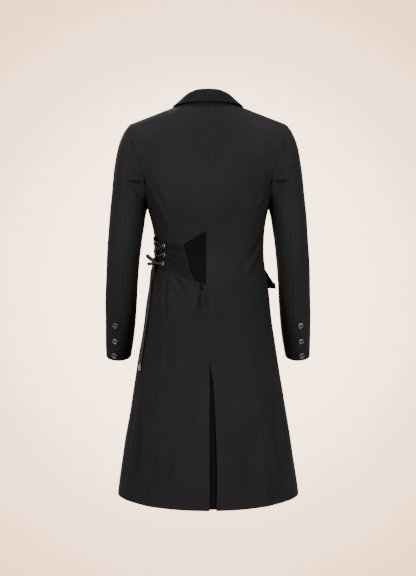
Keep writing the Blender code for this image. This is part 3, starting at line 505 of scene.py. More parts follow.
def ring_faces(rows: int, sides: int, closed: bool = False) -> list[tuple[int, ...]]:
    """Lists the faces between rings of points.

    Args:
        rows: how many rings there are.
        sides: how many points each has.
        closed: whether the last ring joins the first.

    Returns:
        The four corners of each face.
    """
    faces = []
    for row in range(rows if closed else rows - 1):
        one, two = row * sides, (row + 1) % rows * sides
        for i in range(sides):
            k = (i + 1) % sides
            faces.append((one + i, one + k, two + k, two + i))
    return faces


def shown(name: str, data: Any) -> Piece:
    """Puts an object with some data in the scene.

    Args:
        name: its name.
        data: its mesh, camera or light.

    Returns:
        The object.
    """
    made = bpy.data.objects.new(name, data)
    bpy.context.scene.collection.objects.link(made)
    return made


def new_piece(node: str, mesh: Mesh, material: Finish) -> Piece:
    """Shows a mesh as a piece of the coat, in place of a solid.

    Args:
        node: the solid.
        mesh: the mesh.
        material: its finish.

    Returns:
        The piece.
    """
    mesh.materials.clear()
    mesh.materials.append(material)
    piece = shown("coat_" + node, mesh)
    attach(piece, BODY)
    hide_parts(node)
    LOG.info("%s: %d faces", piece.name, len(mesh.polygons))
    return piece


def welded(node: str) -> bmesh.types.BMesh:
    """Joins the points of a solid's mesh and marks its sharp edges.

    Args:
        node: the solid.

    Returns:
        The joined mesh.
    """
    made = bmesh.new()
    made.from_mesh(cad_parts[node].data)
    bmesh.ops.remove_doubles(made, verts=made.verts, dist=1e-6)
    bmesh.ops.join_triangles(made, faces=made.faces, cmp_seam=False, cmp_sharp=False,
                             angle_face_threshold=JOIN_FLAT,
                             angle_shape_threshold=JOIN_SQUARE)
    crease = made.edges.layers.float.new("crease_edge")
    for edge in made.edges:
        sharp = edge.calc_face_angle(0.0) > SHARP_EDGE
        edge.smooth = not sharp
        edge[crease] = 1.0 if sharp else 0.0
    for face in made.faces:
        face.smooth = True
    return made


def refined(node: str, times: int, simple: bool = False) -> Mesh:
    """A solid's form as a fine mesh.

    Args:
        node: the solid's node.
        times: how often its faces are halved.
        simple: keeps the faces where they are and only rounds them a little.

    Returns:
        The fine mesh.
    """
    made = welded(node)
    coarse = bpy.data.meshes.new(node + "_form")
    made.to_mesh(coarse)
    made.free()
    carrier = shown(node + "_form", coarse)
    halving = carrier.modifiers.new("halving", "SUBSURF")
    halving.levels = halving.render_levels = times
    halving.subdivision_type = "SIMPLE" if simple else "CATMULL_CLARK"
    bpy.context.view_layer.update()
    seen = carrier.evaluated_get(bpy.context.evaluated_depsgraph_get())
    fine = bpy.data.meshes.new_from_object(seen)
    fine.name = node + "_fine"
    bpy.data.objects.remove(carrier, do_unlink=True)
    bpy.data.meshes.remove(coarse)
    if simple:
        work = bmesh.new()
        work.from_mesh(fine)
        inner = [v for v in work.verts if all(e.smooth for e in v.link_edges)]
        for _ in range(ROUNDINGS):
            bmesh.ops.smooth_vert(work, verts=inner, factor=0.5, use_axis_x=True,
                                  use_axis_y=True, use_axis_z=True)
        work.to_mesh(fine)
        work.free()
    return fine


def rim_distance(mesh: Mesh, places: np.ndarray) -> np.ndarray:
    """Measures how far each point is from the nearest cut edge of its cloth.

    Args:
        mesh: the cloth's mesh.
        places: its points.

    Returns:
        A distance for each point.
    """
    sharp = np.zeros(len(mesh.edges), bool)
    if "sharp_edge" in mesh.attributes:
        mesh.attributes["sharp_edge"].data.foreach_get("value", sharp)
    ends = np.empty(len(mesh.edges) * 2, np.int64)
    mesh.edges.foreach_get("vertices", ends)
    ends = ends.reshape(-1, 2)[sharp]
    if not len(ends):
        return np.full(len(places), 1.0)
    one, two = places[ends[:, 0]], places[ends[:, 1]]
    spots = np.concatenate([one, two, (one + two) / 2])
    tree = KDTree(len(spots))
    for number, spot in enumerate(spots):
        tree.insert(spot, number)
    tree.balance()
    return np.array([tree.find(place)[2] for place in places])


def outward(places: np.ndarray) -> np.ndarray:
    """Finds the way out of the coat's body, which turns up over the shoulders.

    Args:
        places: places on the body.

    Returns:
        A way of length 1 for each place.
    """
    way = places * np.array(OUT_SHARES)
    way /= np.maximum(np.linalg.norm(way, axis=1), 1e-6)[:, None]
    over = np.clip((places[:, 2] - SHOULDER_START) / SHOULDER_DEPTH, 0.0, 1.0)[:, None]
    way = way * (1 - over) + np.array(UP) * over
    return way / np.linalg.norm(way, axis=1)[:, None]


def sealed(places: np.ndarray, edge: np.ndarray, beside: BVHTree) -> np.ndarray:
    """Draws a cloth's cut edges towards the pieces that they are sewn to.

    Args:
        places: the cloth's points.
        edge: their distance from its cut edges.
        beside: the solids that it is sewn to.

    Returns:
        The points' new places, over half way across each seam's gap.
    """
    moved = places.copy()
    for number in np.nonzero(edge < SEAM_GAP)[0]:
        found = beside.find_nearest(Vector(places[number]), SEAM_GAP)[0]
        if found is not None:
            moved[number] += (np.array(found) - places[number]) * SEAM_SHARE
    return moved


def solid_tree(nodes: Iterable[str]) -> BVHTree:
    """Makes a search tree over some solids' faces.

    Args:
        nodes: the solids.

    Returns:
        The tree.
    """
    points: list[Vector] = []
    faces: list[tuple[int, ...]] = []
    for node in nodes:
        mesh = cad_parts[node].data
        start = len(points)
        points += [v.co.copy() for v in mesh.vertices]
        faces += [tuple(start + i for i in p.vertices) for p in mesh.polygons]
    return BVHTree.FromPolygons(points, faces)


def nearness(places: np.ndarray, tree: BVHTree, reach: float) -> np.ndarray:
    """Rises softly from 0 on some solids to 1 at a reach away from them.

    Args:
        places: the places.
        tree: the solids' faces.
        reach: how far the solids are felt.

    Returns:
        A share for each place.
    """
    far = np.full(len(places), 1.0)
    for number, place in enumerate(places):
        found = tree.find_nearest(Vector(place), reach)
        if found[0] is not None:
            far[number] = found[3] / reach
    return far * far * (3 - 2 * far)


# Creases and cloth

CREASE_POINTS = 12
FAR_OFF = 0.8
CREASE_DEEP = 0.0055
# The low ridge beside a trough: its share of the depth, and in the trough's widths how
# far off and how wide it is
EDGE_RIDGE = 0.32
RIDGE_AT, RIDGE_WIDTH = 1.5, 0.7
TAPER_START, TAPER_POWER = 0.06, 0.8
# How far other pieces hold the cloth, where it would rise and where it would sink
HOLD_OUTWARD, HOLD_INWARD = 0.014, 0.004
# Radius at which the weave is as wide as it is long
BODY_ROUND, SLEEVE_ROUND = 0.17, 0.055


@dataclass(frozen=True)
class Crease:
    """A soft trough (rise below 0) or ridge, drawn on the coat from one of its sides."""

    seen: Facing
    start: tuple[float, float]
    end: tuple[float, float]
    rise: float
    width: float
    bow: float

    def line(self, tree: BVHTree) -> np.ndarray:
        """Finds the crease's line on the cloth.

        Args:
            tree: the cloth's faces.

        Returns:
            The points that were found.
        """
        way = Vector(self.seen.value)
        found = []
        (a, b), (c, d) = self.start, self.end
        run = math.hypot(c - a, d - b) or 1.0
        for share in np.linspace(0, 1, CREASE_POINTS):
            bend = self.bow * math.sin(math.pi * share)
            flat = a + (c - a) * share + bend * (d - b) / run
            height = b + (d - b) * share - bend * (c - a) / run
            start = Vector((flat, 0, height)) if way.x == 0 else Vector((0, flat, height))
            hit = tree.ray_cast(start - way * FAR_OFF, way, 2 * FAR_OFF)[0]
            if hit is not None:
                found.append(tuple(hit))
        return np.array(found)

    def push(self, places: np.ndarray, tree: BVHTree) -> np.ndarray:
        """Works out how far the crease moves each place outward.

        Args:
            places: the places.
            tree: the cloth's faces.

        Returns:
            A distance for each place.
        """
        line = self.line(tree)
        moved = np.zeros(len(places))
        if len(line) < 2:
            return moved
        reach = 3 * self.width
        close = ((places > line.min(0) - reach) & (places < line.max(0) + reach)).all(axis=1)
        spots = places[close]
        if not len(spots):
            return moved
        best = np.full(len(spots), 1e9)
        share = np.zeros(len(spots))
        for i, (one, two) in enumerate(zip(line, line[1:])):
            way = two - one
            along = np.clip((spots - one) @ way / max(way @ way, 1e-12), 0, 1)
            gap = np.linalg.norm(spots - one - along[:, None] * way, axis=1)
            nearer = gap < best
            best[nearer] = gap[nearer]
            share[nearer] = ((i + along) / (len(line) - 1))[nearer]
        profile = np.exp(-(best / self.width) ** 2) - EDGE_RIDGE * np.exp(
            -((best - RIDGE_AT * self.width) / (RIDGE_WIDTH * self.width)) ** 2)
        taper = np.sin(math.pi * (TAPER_START + (1 - 2 * TAPER_START) * share)) ** TAPER_POWER
        moved[close] = self.rise * profile * taper
        return moved


# The side that creases are seen from, and their rows in millimetres
CreaseTable = Sequence[tuple[Facing, Sequence[Sequence[float]]]]


def creases_of(table: CreaseTable, side: int = 1, lift: float = 0.0,
               share: float = 1.0) -> list[Crease]:
    """Makes the creases of a table.

    Args:
        table: the rows, by the side that they are seen from.
        side: 1, or -1 to mirror them.
        lift: how much higher they lie.
        share: how much of their rise they have.

    Returns:
        The creases.
    """
    made = []
    for seen, rows in table:
        for row in rows:
            a, b, c, d, rise, width, bow = (value * MM for value in row)
            made.append(Crease(seen, (side * a, b + lift), (side * c, d + lift), rise * share,
                               width, bow * side))
    return made


@dataclass
class Drape:
    """How the coat's cloth lies: its creases and a slight unevenness all over."""

    creases: Sequence[Crease]
    nodes: Sequence[str]
    wave: float = 0.0007
    waves: Sequence[tuple[float, float, float, float]] = (
        # turns across, back and up in radians a metre, and where it starts
        (31, 17, 9, 0.4), (-23, 12, 21, 1.7), (11, -37, 14, 2.9), (47, 8, -19, 4.1),
        (5, 29, 33, 5.2), (-14, -9, 52, 0.9),
    )
    still_place: Place = (0.136, 0.058, -0.405)
    still_reach: tuple[float, float] = (0.055, 0.120)
    still_top: float = -0.03
    top_depth: float = 0.08

    def __post_init__(self) -> None:
        """Makes the search tree of the cloth."""
        self.tree = solid_tree(self.nodes)

    def push(self, places: np.ndarray) -> np.ndarray:
        """Works out how far each place moves outward.

        Args:
            places: the places.

        Returns:
            A distance for each place.
        """
        moved = np.zeros(len(places))
        for crease in self.creases:
            moved += crease.push(places, self.tree)
        ripple = sum(np.sin(places @ np.array(w[:3], float) + w[3]) for w in self.waves) / 3.0
        near = np.linalg.norm(places - np.array(self.still_place), axis=1)
        low, high = self.still_reach
        calm = np.clip((near - low) / (high - low), 0, 1)
        top = np.clip((self.still_top - places[:, 2]) / self.top_depth, 0, 1)
        return moved + self.wave * ripple * calm * top


def cloth_piece(node: str, drape: Drape | None, material: Finish,
                fineness: Fineness = Fineness.PANEL, simple: bool = False,
                hold_near: BVHTree | None = None, under: BVHTree | None = None,
                sewn_to: Sequence[str] = (), ways: Ways = outward,
                hub: Sequence[Place] = ()) -> Piece:
    """Args:
        node: the solid.
        drape: how its cloth lies, if it is moved at all.
        material: its finish.
        fineness: how fine its mesh is.
        simple: keeps the solid's faces and only rounds them.
        hold_near: solids beside which it isn't moved.
        under: solids beside which it is never moved outward.
        sewn_to: solids that share a seam with it.
        ways: gives the way out at each place.
        hub: height, x and y of the middle that its weave runs round.

    Returns:
        The piece.
    """
    mesh = refined(node, fineness.value - (0), simple)
    places = points_of(mesh)
    edge = rim_distance(mesh, places)
    keep(mesh, "edge", edge)
    others = [n for n in sewn_to if n != node]
    if others:
        places = sealed(places, edge, solid_tree(others))
        move_points(mesh, places)
    middle = np.zeros((len(places), 2))
    if hub:
        rows = np.array(sorted(hub))
        middle = np.stack([np.interp(places[:, 2], rows[:, 0], rows[:, k]) for k in (1, 2)], 1)
    angle = np.arctan2(places[:, 1] - middle[:, 1], places[:, 0] - middle[:, 0])
    around = angle * (SLEEVE_ROUND if hub else BODY_ROUND)
    keep(mesh, "weave", np.stack([around, places[:, 2], places[:, 1]], axis=1))
    if drape is not None:
        push = drape.push(places)
        if hold_near is not None:
            push *= np.where(push > 0, nearness(places, hold_near, HOLD_OUTWARD),
                             nearness(places, hold_near, HOLD_INWARD))
        if under is not None:
            push = np.where(push > 0, push * nearness(places, under, HOLD_OUTWARD), push)
        # How deep each point lies in a crease's trough, for the painted shade there
        keep(mesh, "hollow", np.clip(-push / CREASE_DEEP, 0, 1) ** 2)
        move_points(mesh, places + ways(places) * push[:, None])
    piece = new_piece(node, mesh, material)
    return piece


# Sub-assemblies

BODY_NODES = ("back_left", "back_right", "side_back_left", "side_back_right",
              "front_left", "front_right")
SLEEVE_NODES = ("upper_sleeve_left", "upper_sleeve_right", "under_sleeve_left",
                "under_sleeve_right")
SEWN_NODES = BODY_NODES + SLEEVE_NODES + ("collar",)
TRIM_STARTS = ("waist_tab", "side_tab", "tab_inset", "pocket_flap", "lapel", "front_button",
               "eyelet", "lace")
BODY_CREASES: CreaseTable = (
    # across and height at the start, the same at the end, rise, half width, bow
    (Facing.BACK, (
        (104, -446, 66, -500, -3.6, 7, 4), (88, -474, 70, -520, 2, 7, 2),
        (110, -452, 112, -580, -3, 8, -4), (122, -478, 128, -560, 1.8, 8, 0),
        (134, -455, 139, -560, -2.8, 8, 3), (18.7, -476, 18.2, -496, -4.6, 3.6, 0),
        (19, -480, 26.5, -548, -3.8, 5, 1), (17, -482, -4.5, -556, -3.4, 5.2, -1),
        (15, -498, 12.5, -556, 2.2, 5.2, 0), (27, -520, 40, -620, -2.2, 11, 4),
        (48, -500, 56, -640, 1.2, 12, 4), (-156, -322, -100, -420, -3.6, 10.5, 6),
        (-152, -352, -104, -440, 2.2, 9.5, 5), (-146, -385, -106, -470, -2.8, 10, 4),
        (-90, -390, -104, -500, -1.4, 13, -5), (154, -205, 118, -290, -1.6, 10, 5),
        (150, -235, 116, -312, 0.6, 9.5, 4), (140, -290, 112, -340, -2, 10, 3),
        (-158, -210, -118, -300, -1.6, 10, -5), (-154, -240, -120, -322, 0.8, 9.5, -4),
        (-158, -252, -130, -292, -3, 6, -3), (60, -60, 30, -150, -1.2, 20, 8),
        (-70, -70, -36, -160, -1.2, 20, -8), (85, -230, 50, -330, -1, 18, 6),
        (-80, -250, -46, -360, -1, 18, -6), (100, -610, 122, -800, -1.8, 15, 5),
        (-112, -560, -140, -740, -1.8, 15, -5), (185, -800, 205, -1040, -3.8, 16, 6),
        (156, -850, 170, -1060, 2.2, 15, 0), (95, -880, 108, -1065, -2.4, 16, 3),
        (40, -780, 46, -1040, -1.4, 15, 0), (-175, -780, -200, -1035, -3.8, 17, -6),
        (-140, -880, -156, -1060, 2, 16, 0), (-90, -850, -104, -1065, -2.2, 17, -3),
        (-50, -930, -58, -1075, 1.4, 15, 0),
    )),
    (Facing.FRONT, (
        (140, -330, 90, -410, -3, 10.5, -5), (135, -372, 70, -425, -2, 9.5, -4),
        (-140, -335, -86, -415, -3, 10.5, 5), (-128, -380, -66, -428, -2, 9.5, 4),
        (20, -470, 34, -620, -1.8, 13, 4), (-30, -465, -46, -640, -1.8, 14, -4),
        (110, -700, 138, -1040, -3.6, 19, 8), (-104, -720, -130, -1045, -3.6, 19, -8),
        (50, -820, 64, -1050, -1.8, 18, 4), (-50, -860, -58, -1050, -1.8, 18, -4),
        (154, -205, 116, -285, -2.6, 10.5, -4), (-154, -210, -116, -290, -2.6, 10.5, 4),
        (146, -240, 110, -310, 1.3, 10, -3), (-146, -244, -110, -314, 1.3, 10, 3),
    )),
    (Facing.LEFT, (
        (-20, -620, -30, -1030, -3.4, 18, 6), (60, -760, 86, -1040, -2.6, 16, 4),
    )),
    (Facing.RIGHT, (
        (-15, -640, -28, -1030, -3.4, 18, -6), (60, -780, 88, -1040, -2.6, 16, -4),
    )),
)


@dataclass
class CoatBody:
    """Backs, side backs, fronts and the vent's underlap."""

    cuts: Sequence[tuple[str, Cut]] = (
        # solid, its cut
        ("back_left", (0.228, 1.143, 0.1715)),
        ("back_right", (0.220, 1.140, 0.1619)),
        ("side_back_left", (0.222, 0.861, 0.1374)),
        ("side_back_right", (0.222, 0.861, 0.1372)),
        ("front_left", (0.340, 1.140, 0.2698)),
        ("front_right", (0.340, 1.140, 0.2704)),
    )
    underlap: Cut = (0.063, 0.364, 0.0222)
    wool: Wool = Wool("coat_wool")
    # The vent's underlap painted near-black: painted shade inside the vent
    shade: Pile = Pile("vent_shade", (0.0040, 0.0040, 0.0043), 0.90)

    def build(self, drape: Drape, sleeves: BVHTree, trims: BVHTree) -> list[Piece]:
        """Makes the panels.

        Args:
            drape: how the cloth lies.
            sleeves: the sleeves' solids, beside which the cloth isn't moved.
            trims: what lies on the panels, under which they don't rise.

        Returns:
            The panels.
        """
        wool = self.wool.dress()
        made = [cloth_piece(node, drape, wool, hold_near=sleeves, under=trims,
                            sewn_to=SEWN_NODES) for node, cut in self.cuts]
        made.append(cloth_piece("vent_underlap", drape, self.shade.dress()))
        return made


@dataclass
class Sleeves:
    """Two piece sleeves, with the creases of their heads and elbows."""

    upper: Cut = (0.236, 0.690, 0.1301)
    under: Cut = (0.171, 0.620, 0.0644)
    hub: Sequence[Place] = (
        # height, out, back
        (-0.700, 0.2500, -0.0760), (-0.600, 0.2445, -0.0500), (-0.500, 0.2395, -0.0220),
        (-0.400, 0.2330, -0.0030), (-0.300, 0.2215, 0.0), (-0.150, 0.2165, -0.0040),
        (-0.050, 0.2000, -0.0040),
    )
    creases: CreaseTable = (
        # across and height at the start, the same at the end, rise, half width, bow
        (Facing.BACK, (
            (215, -205, 172, -208, -8.5, 2.8, 1), (208, -199, 174, -201, 2.8, 3, 1),
            (196, -162, 177, -196, 2.6, 3.6, -2), (210, -212, 176, -216, 2.6, 4, 1),
            (235, -160, 218, -186, -2, 7, 0), (205, -222, 176, -260, -3, 7, 3),
            (235, -370, 202, -415, -2.2, 9, 3), (235, -395, 206, -435, 1.4, 9, 3),
            (240, -500, 212, -545, -1.8, 10, 3),
        )),
        (Facing.FRONT, (
            (215, -175, 184, -205, -2.8, 8, -2), (220, -380, 198, -405, -3, 8.5, -3),
            (245, -408, 202, -438, -3.4, 9, -3), (240, -450, 208, -470, -2.4, 8, -2),
            (250, -580, 225, -620, -1.4, 10, 0),
        )),
    )
    side_creases: Sequence[Sequence[float]] = (
        # the same columns, with the way back in place of the way across
        (-60, -385, -20, -400, -2, 8, 2), (-65, -430, -25, -438, -2.4, 8.5, 2),
        (30, -150, 45, -230, -1.4, 10, 3), (-30, -130, -45, -220, -1.2, 11, -3),
    )
    wave: float = 0.0006
    right_lift: float = 0.0015
    right_share: float = 0.92
    # The same cloth as the body's, painted a little lighter: painted light on the sleeves
    wool: Wool = Wool("sleeve_wool_painted_lighter", (0.0109, 0.0109, 0.0116), (0.0160, 0.0158, 0.0165))

    def way_out(self, places: np.ndarray) -> np.ndarray:
        """Finds the way out of the sleeve that each place is on.

        Args:
            places: places on the sleeves.

        Returns:
            A level way of length 1 for each place.
        """
        rows = np.array(sorted(self.hub))
        side = np.sign(places[:, 0])
        out = np.interp(places[:, 2], rows[:, 0], rows[:, 1]) * side
        back = np.interp(places[:, 2], rows[:, 0], rows[:, 2])
        way = np.stack([places[:, 0] - out, places[:, 1] - back, 0 * out], axis=1)
        return way / np.maximum(np.linalg.norm(way, axis=1), 1e-6)[:, None]

    def drape(self, side: int) -> Drape:
        """Lays one sleeve's cloth, a little differently on the right.

        Args:
            side: 1 for the left, -1 for the right.

        Returns:
            How the cloth lies.
        """
        left = side > 0
        lift, share = (0.0, 1.0) if left else (self.right_lift, self.right_share)
        made = creases_of(self.creases, side, lift, share)
        beside = ((Facing.LEFT if left else Facing.RIGHT, self.side_creases),)
        made += creases_of(beside, 1, lift, share)
        word = "left" if left else "right"
        return Drape(made, [n for n in SLEEVE_NODES if n.endswith(word)], self.wave)

    def build(self, body: BVHTree) -> list[Piece]:
        """Makes the four sleeve pieces.

        Args:
            body: the body's solids, beside which the cloth isn't moved.

        Returns:
            The pieces.
        """
        wool = self.wool.dress()
        made = []
        for side, word in ((1, "left"), (-1, "right")):
            drape = self.drape(side)
            hub = [(height, side * out, back) for height, out, back in self.hub]
            for part, cut in (("upper", self.upper), ("under", self.under)):
                made.append(cloth_piece(f"{part}_sleeve_{word}", drape, wool,
                                        hold_near=body, sewn_to=SEWN_NODES,
                                        ways=self.way_out, hub=hub))
        return made


@dataclass
class CollarSet:
    """Turned down collar and the lapels."""

    collar: Cut = (0.340, 0.094, 0.0225)
    lapel: Cut = (0.077, 0.138, 0.0094)
    # Stronger painted shade along the collar's seams
    wool: Wool = Wool("collar_wool", (0.0032, 0.0032, 0.0036), (0.0062, 0.0061, 0.0066),
                      seam_shade_share=0.75, stitch_at=0.0080, stitch_groove=0.0009)

    def build(self, drape: Drape) -> list[Piece]:
        """Makes the collar and the lapels.

        Args:
            drape: how the body's cloth lies.

        Returns:
            The pieces.
        """
        wool = self.wool.dress()
        made = [cloth_piece("collar", None, wool, sewn_to=BODY_NODES)]
        for node in ("lapel_left", "lapel_right"):
            made.append(cloth_piece(node, drape, wool, Fineness.TRIM))
        return made


@dataclass
class PocketFlaps:
    """The two pocket flaps over the hips."""

    cuts: Sequence[tuple[str, Cut]] = (
        # solid, its cut
        ("pocket_flap_left", (0.106, 0.056, 0.0056)),
        ("pocket_flap_right", (0.118, 0.060, 0.0062)),
    )
    wool: Wool = Wool("flap_wool", stitch_at=0.0055)

    def build(self, drape: Drape) -> list[Piece]:
        """Makes the flaps, which lie as the body's cloth does."""
        wool = self.wool.dress()
        return [cloth_piece(node, drape, wool) for node, cut in self.cuts]


@dataclass
class WaistTabs:
    """Laced waist tab with its dark inset, and the side tab."""

    tabs: Sequence[tuple[str, Cut]] = (
        # solid, its cut
        ("waist_tab", (0.097, 0.090, 0.0073)),
        ("side_tab", (0.078, 0.098, 0.0069)),
    )
    inset: Cut = (0.059, 0.139, 0.0057)
    wool: Wool = Wool("tab_wool", (0.0020, 0.0020, 0.0023), (0.0044, 0.0043, 0.0047),
                      roughness=0.70, stitch_at=0.0045)
    pile: Pile = Pile("inset_pile")
    creases: CreaseTable = (
        # across and height at the start, the same at the end, rise, half width, bow
        (Facing.BACK, (
            (112, -383, 74, -392, -1.5, 4.2, 2), (112, -394, 80, -402, 1.3, 4.2, 0),
            (112, -404, 66, -414, -1.5, 4.5, -2), (110, -424, 64, -440, -1.2, 4.5, 2),
            (106, -412, 80, -428, 0.9, 5, 0),
        )),
        (Facing.LEFT, (
            (40, -378, 0, -384, -1, 5, 2), (40, -400, -4, -408, -1.2, 5, -2),
        )),
    )

    def build(self) -> list[Piece]:
        """Makes the tabs and the inset.

        Returns:
            The pieces.
        """
        wool = self.wool.dress()
        drape = Drape(creases_of(self.creases), [node for node, _ in self.tabs], 0.0)
        made = [cloth_piece(node, drape, wool, simple=True)
                for node, cut in self.tabs]
        made.append(cloth_piece("tab_inset", None, self.pile.dress()))
        return made


@dataclass(frozen=True)
class Seat:
    """Where a round fitting sits: a place on its axis, the axis, and its reach along it."""

    centre: Vector
    axis: Vector
    low: float = 0.0
    high: float = 0.0


def seat_of(node: str, long: bool = False) -> Seat:
    """Finds how a round solid sits.

    Args:
        node: the solid.
        long: whether it is longer than it is wide.

    Returns:
        Its seat, with the axis away from the coat's middle.
    """
    corners = np.array([tuple(v.co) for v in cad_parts[node].data.vertices])
    points = np.unique(corners.round(6), axis=0)
    centre = points.mean(axis=0)
    _, ways = np.linalg.eigh(np.cov((points - centre).T))
    axis = ways[:, 2 if long else 0]
    away = centre * np.array((1.0, 1.0, 0.0))
    if axis @ away < 0:
        axis = -axis
    along = (points - centre) @ axis
    return Seat(Vector(centre), Vector(axis), float(along.min()), float(along.max()))


NO_BEADS: Beads = (0, 0, 0, 0)
GROOVE_DEPTH = 0.0014


def spun(name: str, seat: Seat, profile: Profile, steps: int, beads: Beads,
         closed: bool) -> Mesh:
    """Turns a profile round a seat's axis.

    Args:
        name: the mesh's name.
        seat: where it sits.
        profile: distance from the axis and height, from the outside foot to the middle.
        steps: how many sides it gets.
        beads: its ring of beads.
        closed: whether the profile's last point joins its first.

    Returns:
        The mesh, which keeps how deep each point lies in its grooves.
    """
    side = seat.axis.orthogonal().normalized()
    other = seat.axis.cross(side)
    top = max(rise for _, rise in profile)
    inner, outer, number, height = beads
    points, low = [], []
    for reach, rise in profile:
        for i in range(steps):
            angle = 2 * math.pi * i / steps
            lift = height * math.cos(number * angle) if inner < reach < outer else 0.0
            way = side * math.cos(angle) + other * math.sin(angle)
            points.append(seat.centre + way * max(reach, 1e-5) + seat.axis * (rise + lift))
            low.append(min(1.0, max(0.0, (top - rise - lift) / GROOVE_DEPTH)))
    mesh = bpy.data.meshes.new(name)
    mesh.from_pydata(points, [], ring_faces(len(profile), steps, closed))
    work = bmesh.new()
    work.from_mesh(mesh)
    bmesh.ops.recalc_face_normals(work, faces=work.faces)
    for face in work.faces:
        face.smooth = True
    work.to_mesh(mesh)
    work.free()
    keep(mesh, "groove", np.array(low))
    return mesh


def fitting(node: str, seat: Seat, profile: Profile, metal: Finish, steps: int,
            beads: Beads = NO_BEADS, closed: bool = True) -> Piece:
    """Makes a turned fitting in place of its solid.

    Args:
        node: the solid.
        seat: where it sits.
        profile: its profile, in metres.
        metal: its finish.
        steps: how many sides it gets.
        beads: its ring of beads.
        closed: whether the profile's last point joins its first.

    Returns:
        The piece.
    """
    turned = spun(node + "_turned", seat, profile, steps, beads, closed)
    return new_piece(node, turned, metal)


@dataclass
class Buttons:
    """Gunmetal buttons of the cuffs, flaps and front."""

    radius: float = 0.0080
    profile: Profile = (
        # share of the radius, height in millimetres
        (0.01, 0.0), (0.90, 0.0), (0.975, 0.5), (1.000, 1.3), (0.985, 2.2), (0.930, 3.0),
        (0.850, 3.45), (0.780, 3.40), (0.720, 2.90), (0.680, 2.30), (0.640, 2.10),
        (0.600, 2.20), (0.560, 2.35), (0.520, 2.20), (0.480, 2.10), (0.450, 2.40),
        (0.410, 3.00), (0.360, 3.15), (0.310, 2.80), (0.270, 2.20), (0.220, 1.90),
        (0.120, 2.10), (0.01, 2.25),
    )
    steps: int = 56
    beads: Beads = (0.0041, 0.0051, 14, 0.00030)
    metal: Metal = Metal("button_gunmetal", (0.34, 0.34, 0.36), (0.020, 0.020, 0.022), 0.20,
                         0.95)

    def build(self) -> list[Piece]:
        """Makes every button.

        Returns:
            The buttons.
        """
        metal = self.metal.dress()
        profile = [(share * self.radius, height * MM) for share, height in self.profile]
        made = []
        for node in sorted(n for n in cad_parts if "button" in n):
            seat = seat_of(node)
            foot = Seat(seat.centre + seat.axis * seat.low, seat.axis)
            made.append(fitting(node, foot, profile, metal, self.steps, self.beads, False))
        return made


# The lace's routes in millimetres: out to the coat's left, back and up
LACE_LACING = (
    (140.2, 71.8, -422.7), (134.3, 75.9, -424.0), (128.5, 81.0, -423.7), (126.6, 82.9, -423.9),
    (125.0, 83.2, -424.1), (123.0, 82.1, -424.7), (121.6, 80.6, -425.2), (120.7, 78.9, -425.3),
    (120.6, 77.6, -424.6), (121.6, 76.0, -423.0), (127.0, 68.0, -413.9), (131.5, 61.5, -406.4),
    (139.9, 58.4, -399.3), (144.8, 50.5, -391.6), (145.5, 48.8, -390.1), (145.0, 47.6, -389.3),
    (143.1, 46.2, -388.9), (141.2, 45.3, -389.0), (139.4, 45.1, -388.8), (138.1, 45.8, -388.5),
    (137.2, 47.8, -387.8), (134.6, 54.2, -385.8), (130.3, 61.2, -383.5), (131.7, 69.3, -382.1),
    (124.9, 78.3, -379.2), (123.2, 80.0, -378.6), (121.7, 80.3, -378.2), (119.7, 79.1, -377.9),
    (118.3, 77.5, -377.8), (117.5, 75.8, -377.6), (117.7, 74.3, -377.2), (119.2, 72.5, -376.5),
    (126.0, 65.5, -373.7), (134.0, 56.9, -370.3), (137.7, 48.0, -367.3), (138.6, 46.0, -366.6),
    (139.9, 45.3, -366.4), (141.7, 45.5, -366.4), (143.6, 46.4, -366.6), (145.5, 47.8, -367.3),
    (145.9, 49.0, -368.2), (145.3, 50.8, -369.8), (141.9, 58.5, -376.7), (133.9, 63.7, -383.7),
    (126.2, 64.9, -388.5), (118.0, 73.0, -398.8), (116.9, 74.5, -400.4), (117.0, 75.9, -401.1),
    (118.0, 77.6, -401.3), (119.4, 79.1, -401.0), (121.4, 80.3, -400.9), (123.0, 80.1, -401.1),
    (124.9, 78.4, -401.6), (131.6, 72.0, -403.5), (135.0, 64.1, -405.7), (135.3, 55.5, -408.1),
    (138.7, 48.6, -410.2), (139.8, 46.5, -410.7), (141.1, 45.9, -410.9), (143.0, 46.1, -410.7),
    (144.8, 46.9, -410.3), (146.8, 48.4, -410.2), (147.3, 49.7, -410.7), (146.8, 51.7, -412.1),
    (146.6, 55.0, -413.7), (144.5, 64.5, -418.7),
)
LACE_LOOP_UP = (
    (143.7, 71.1, -417.9), (146.6, 72.8, -414.6), (149.9, 73.7, -411.5), (153.6, 73.2, -408.6),
    (157.1, 72.3, -405.7), (160.4, 71.0, -402.7), (163.6, 68.2, -401.5), (164.5, 65.3, -404.5),
    (161.9, 64.4, -408.0), (158.4, 64.5, -411.1), (154.7, 64.8, -414.0), (150.9, 65.1, -416.7),
    (147.1, 65.5, -419.2),
)
LACE_LOOP_DOWN = (
    (147.3, 71.3, -423.3), (149.5, 72.0, -424.8), (151.9, 72.6, -426.3), (154.5, 72.4, -427.2),
    (157.2, 71.6, -427.5), (159.7, 70.3, -427.2), (161.3, 68.4, -426.0), (161.3, 66.5, -424.2),
    (159.2, 65.5, -422.8), (156.4, 65.6, -422.7), (153.6, 65.8, -422.9), (150.8, 66.1, -423.3),
    (148.1, 66.3, -423.7),
)
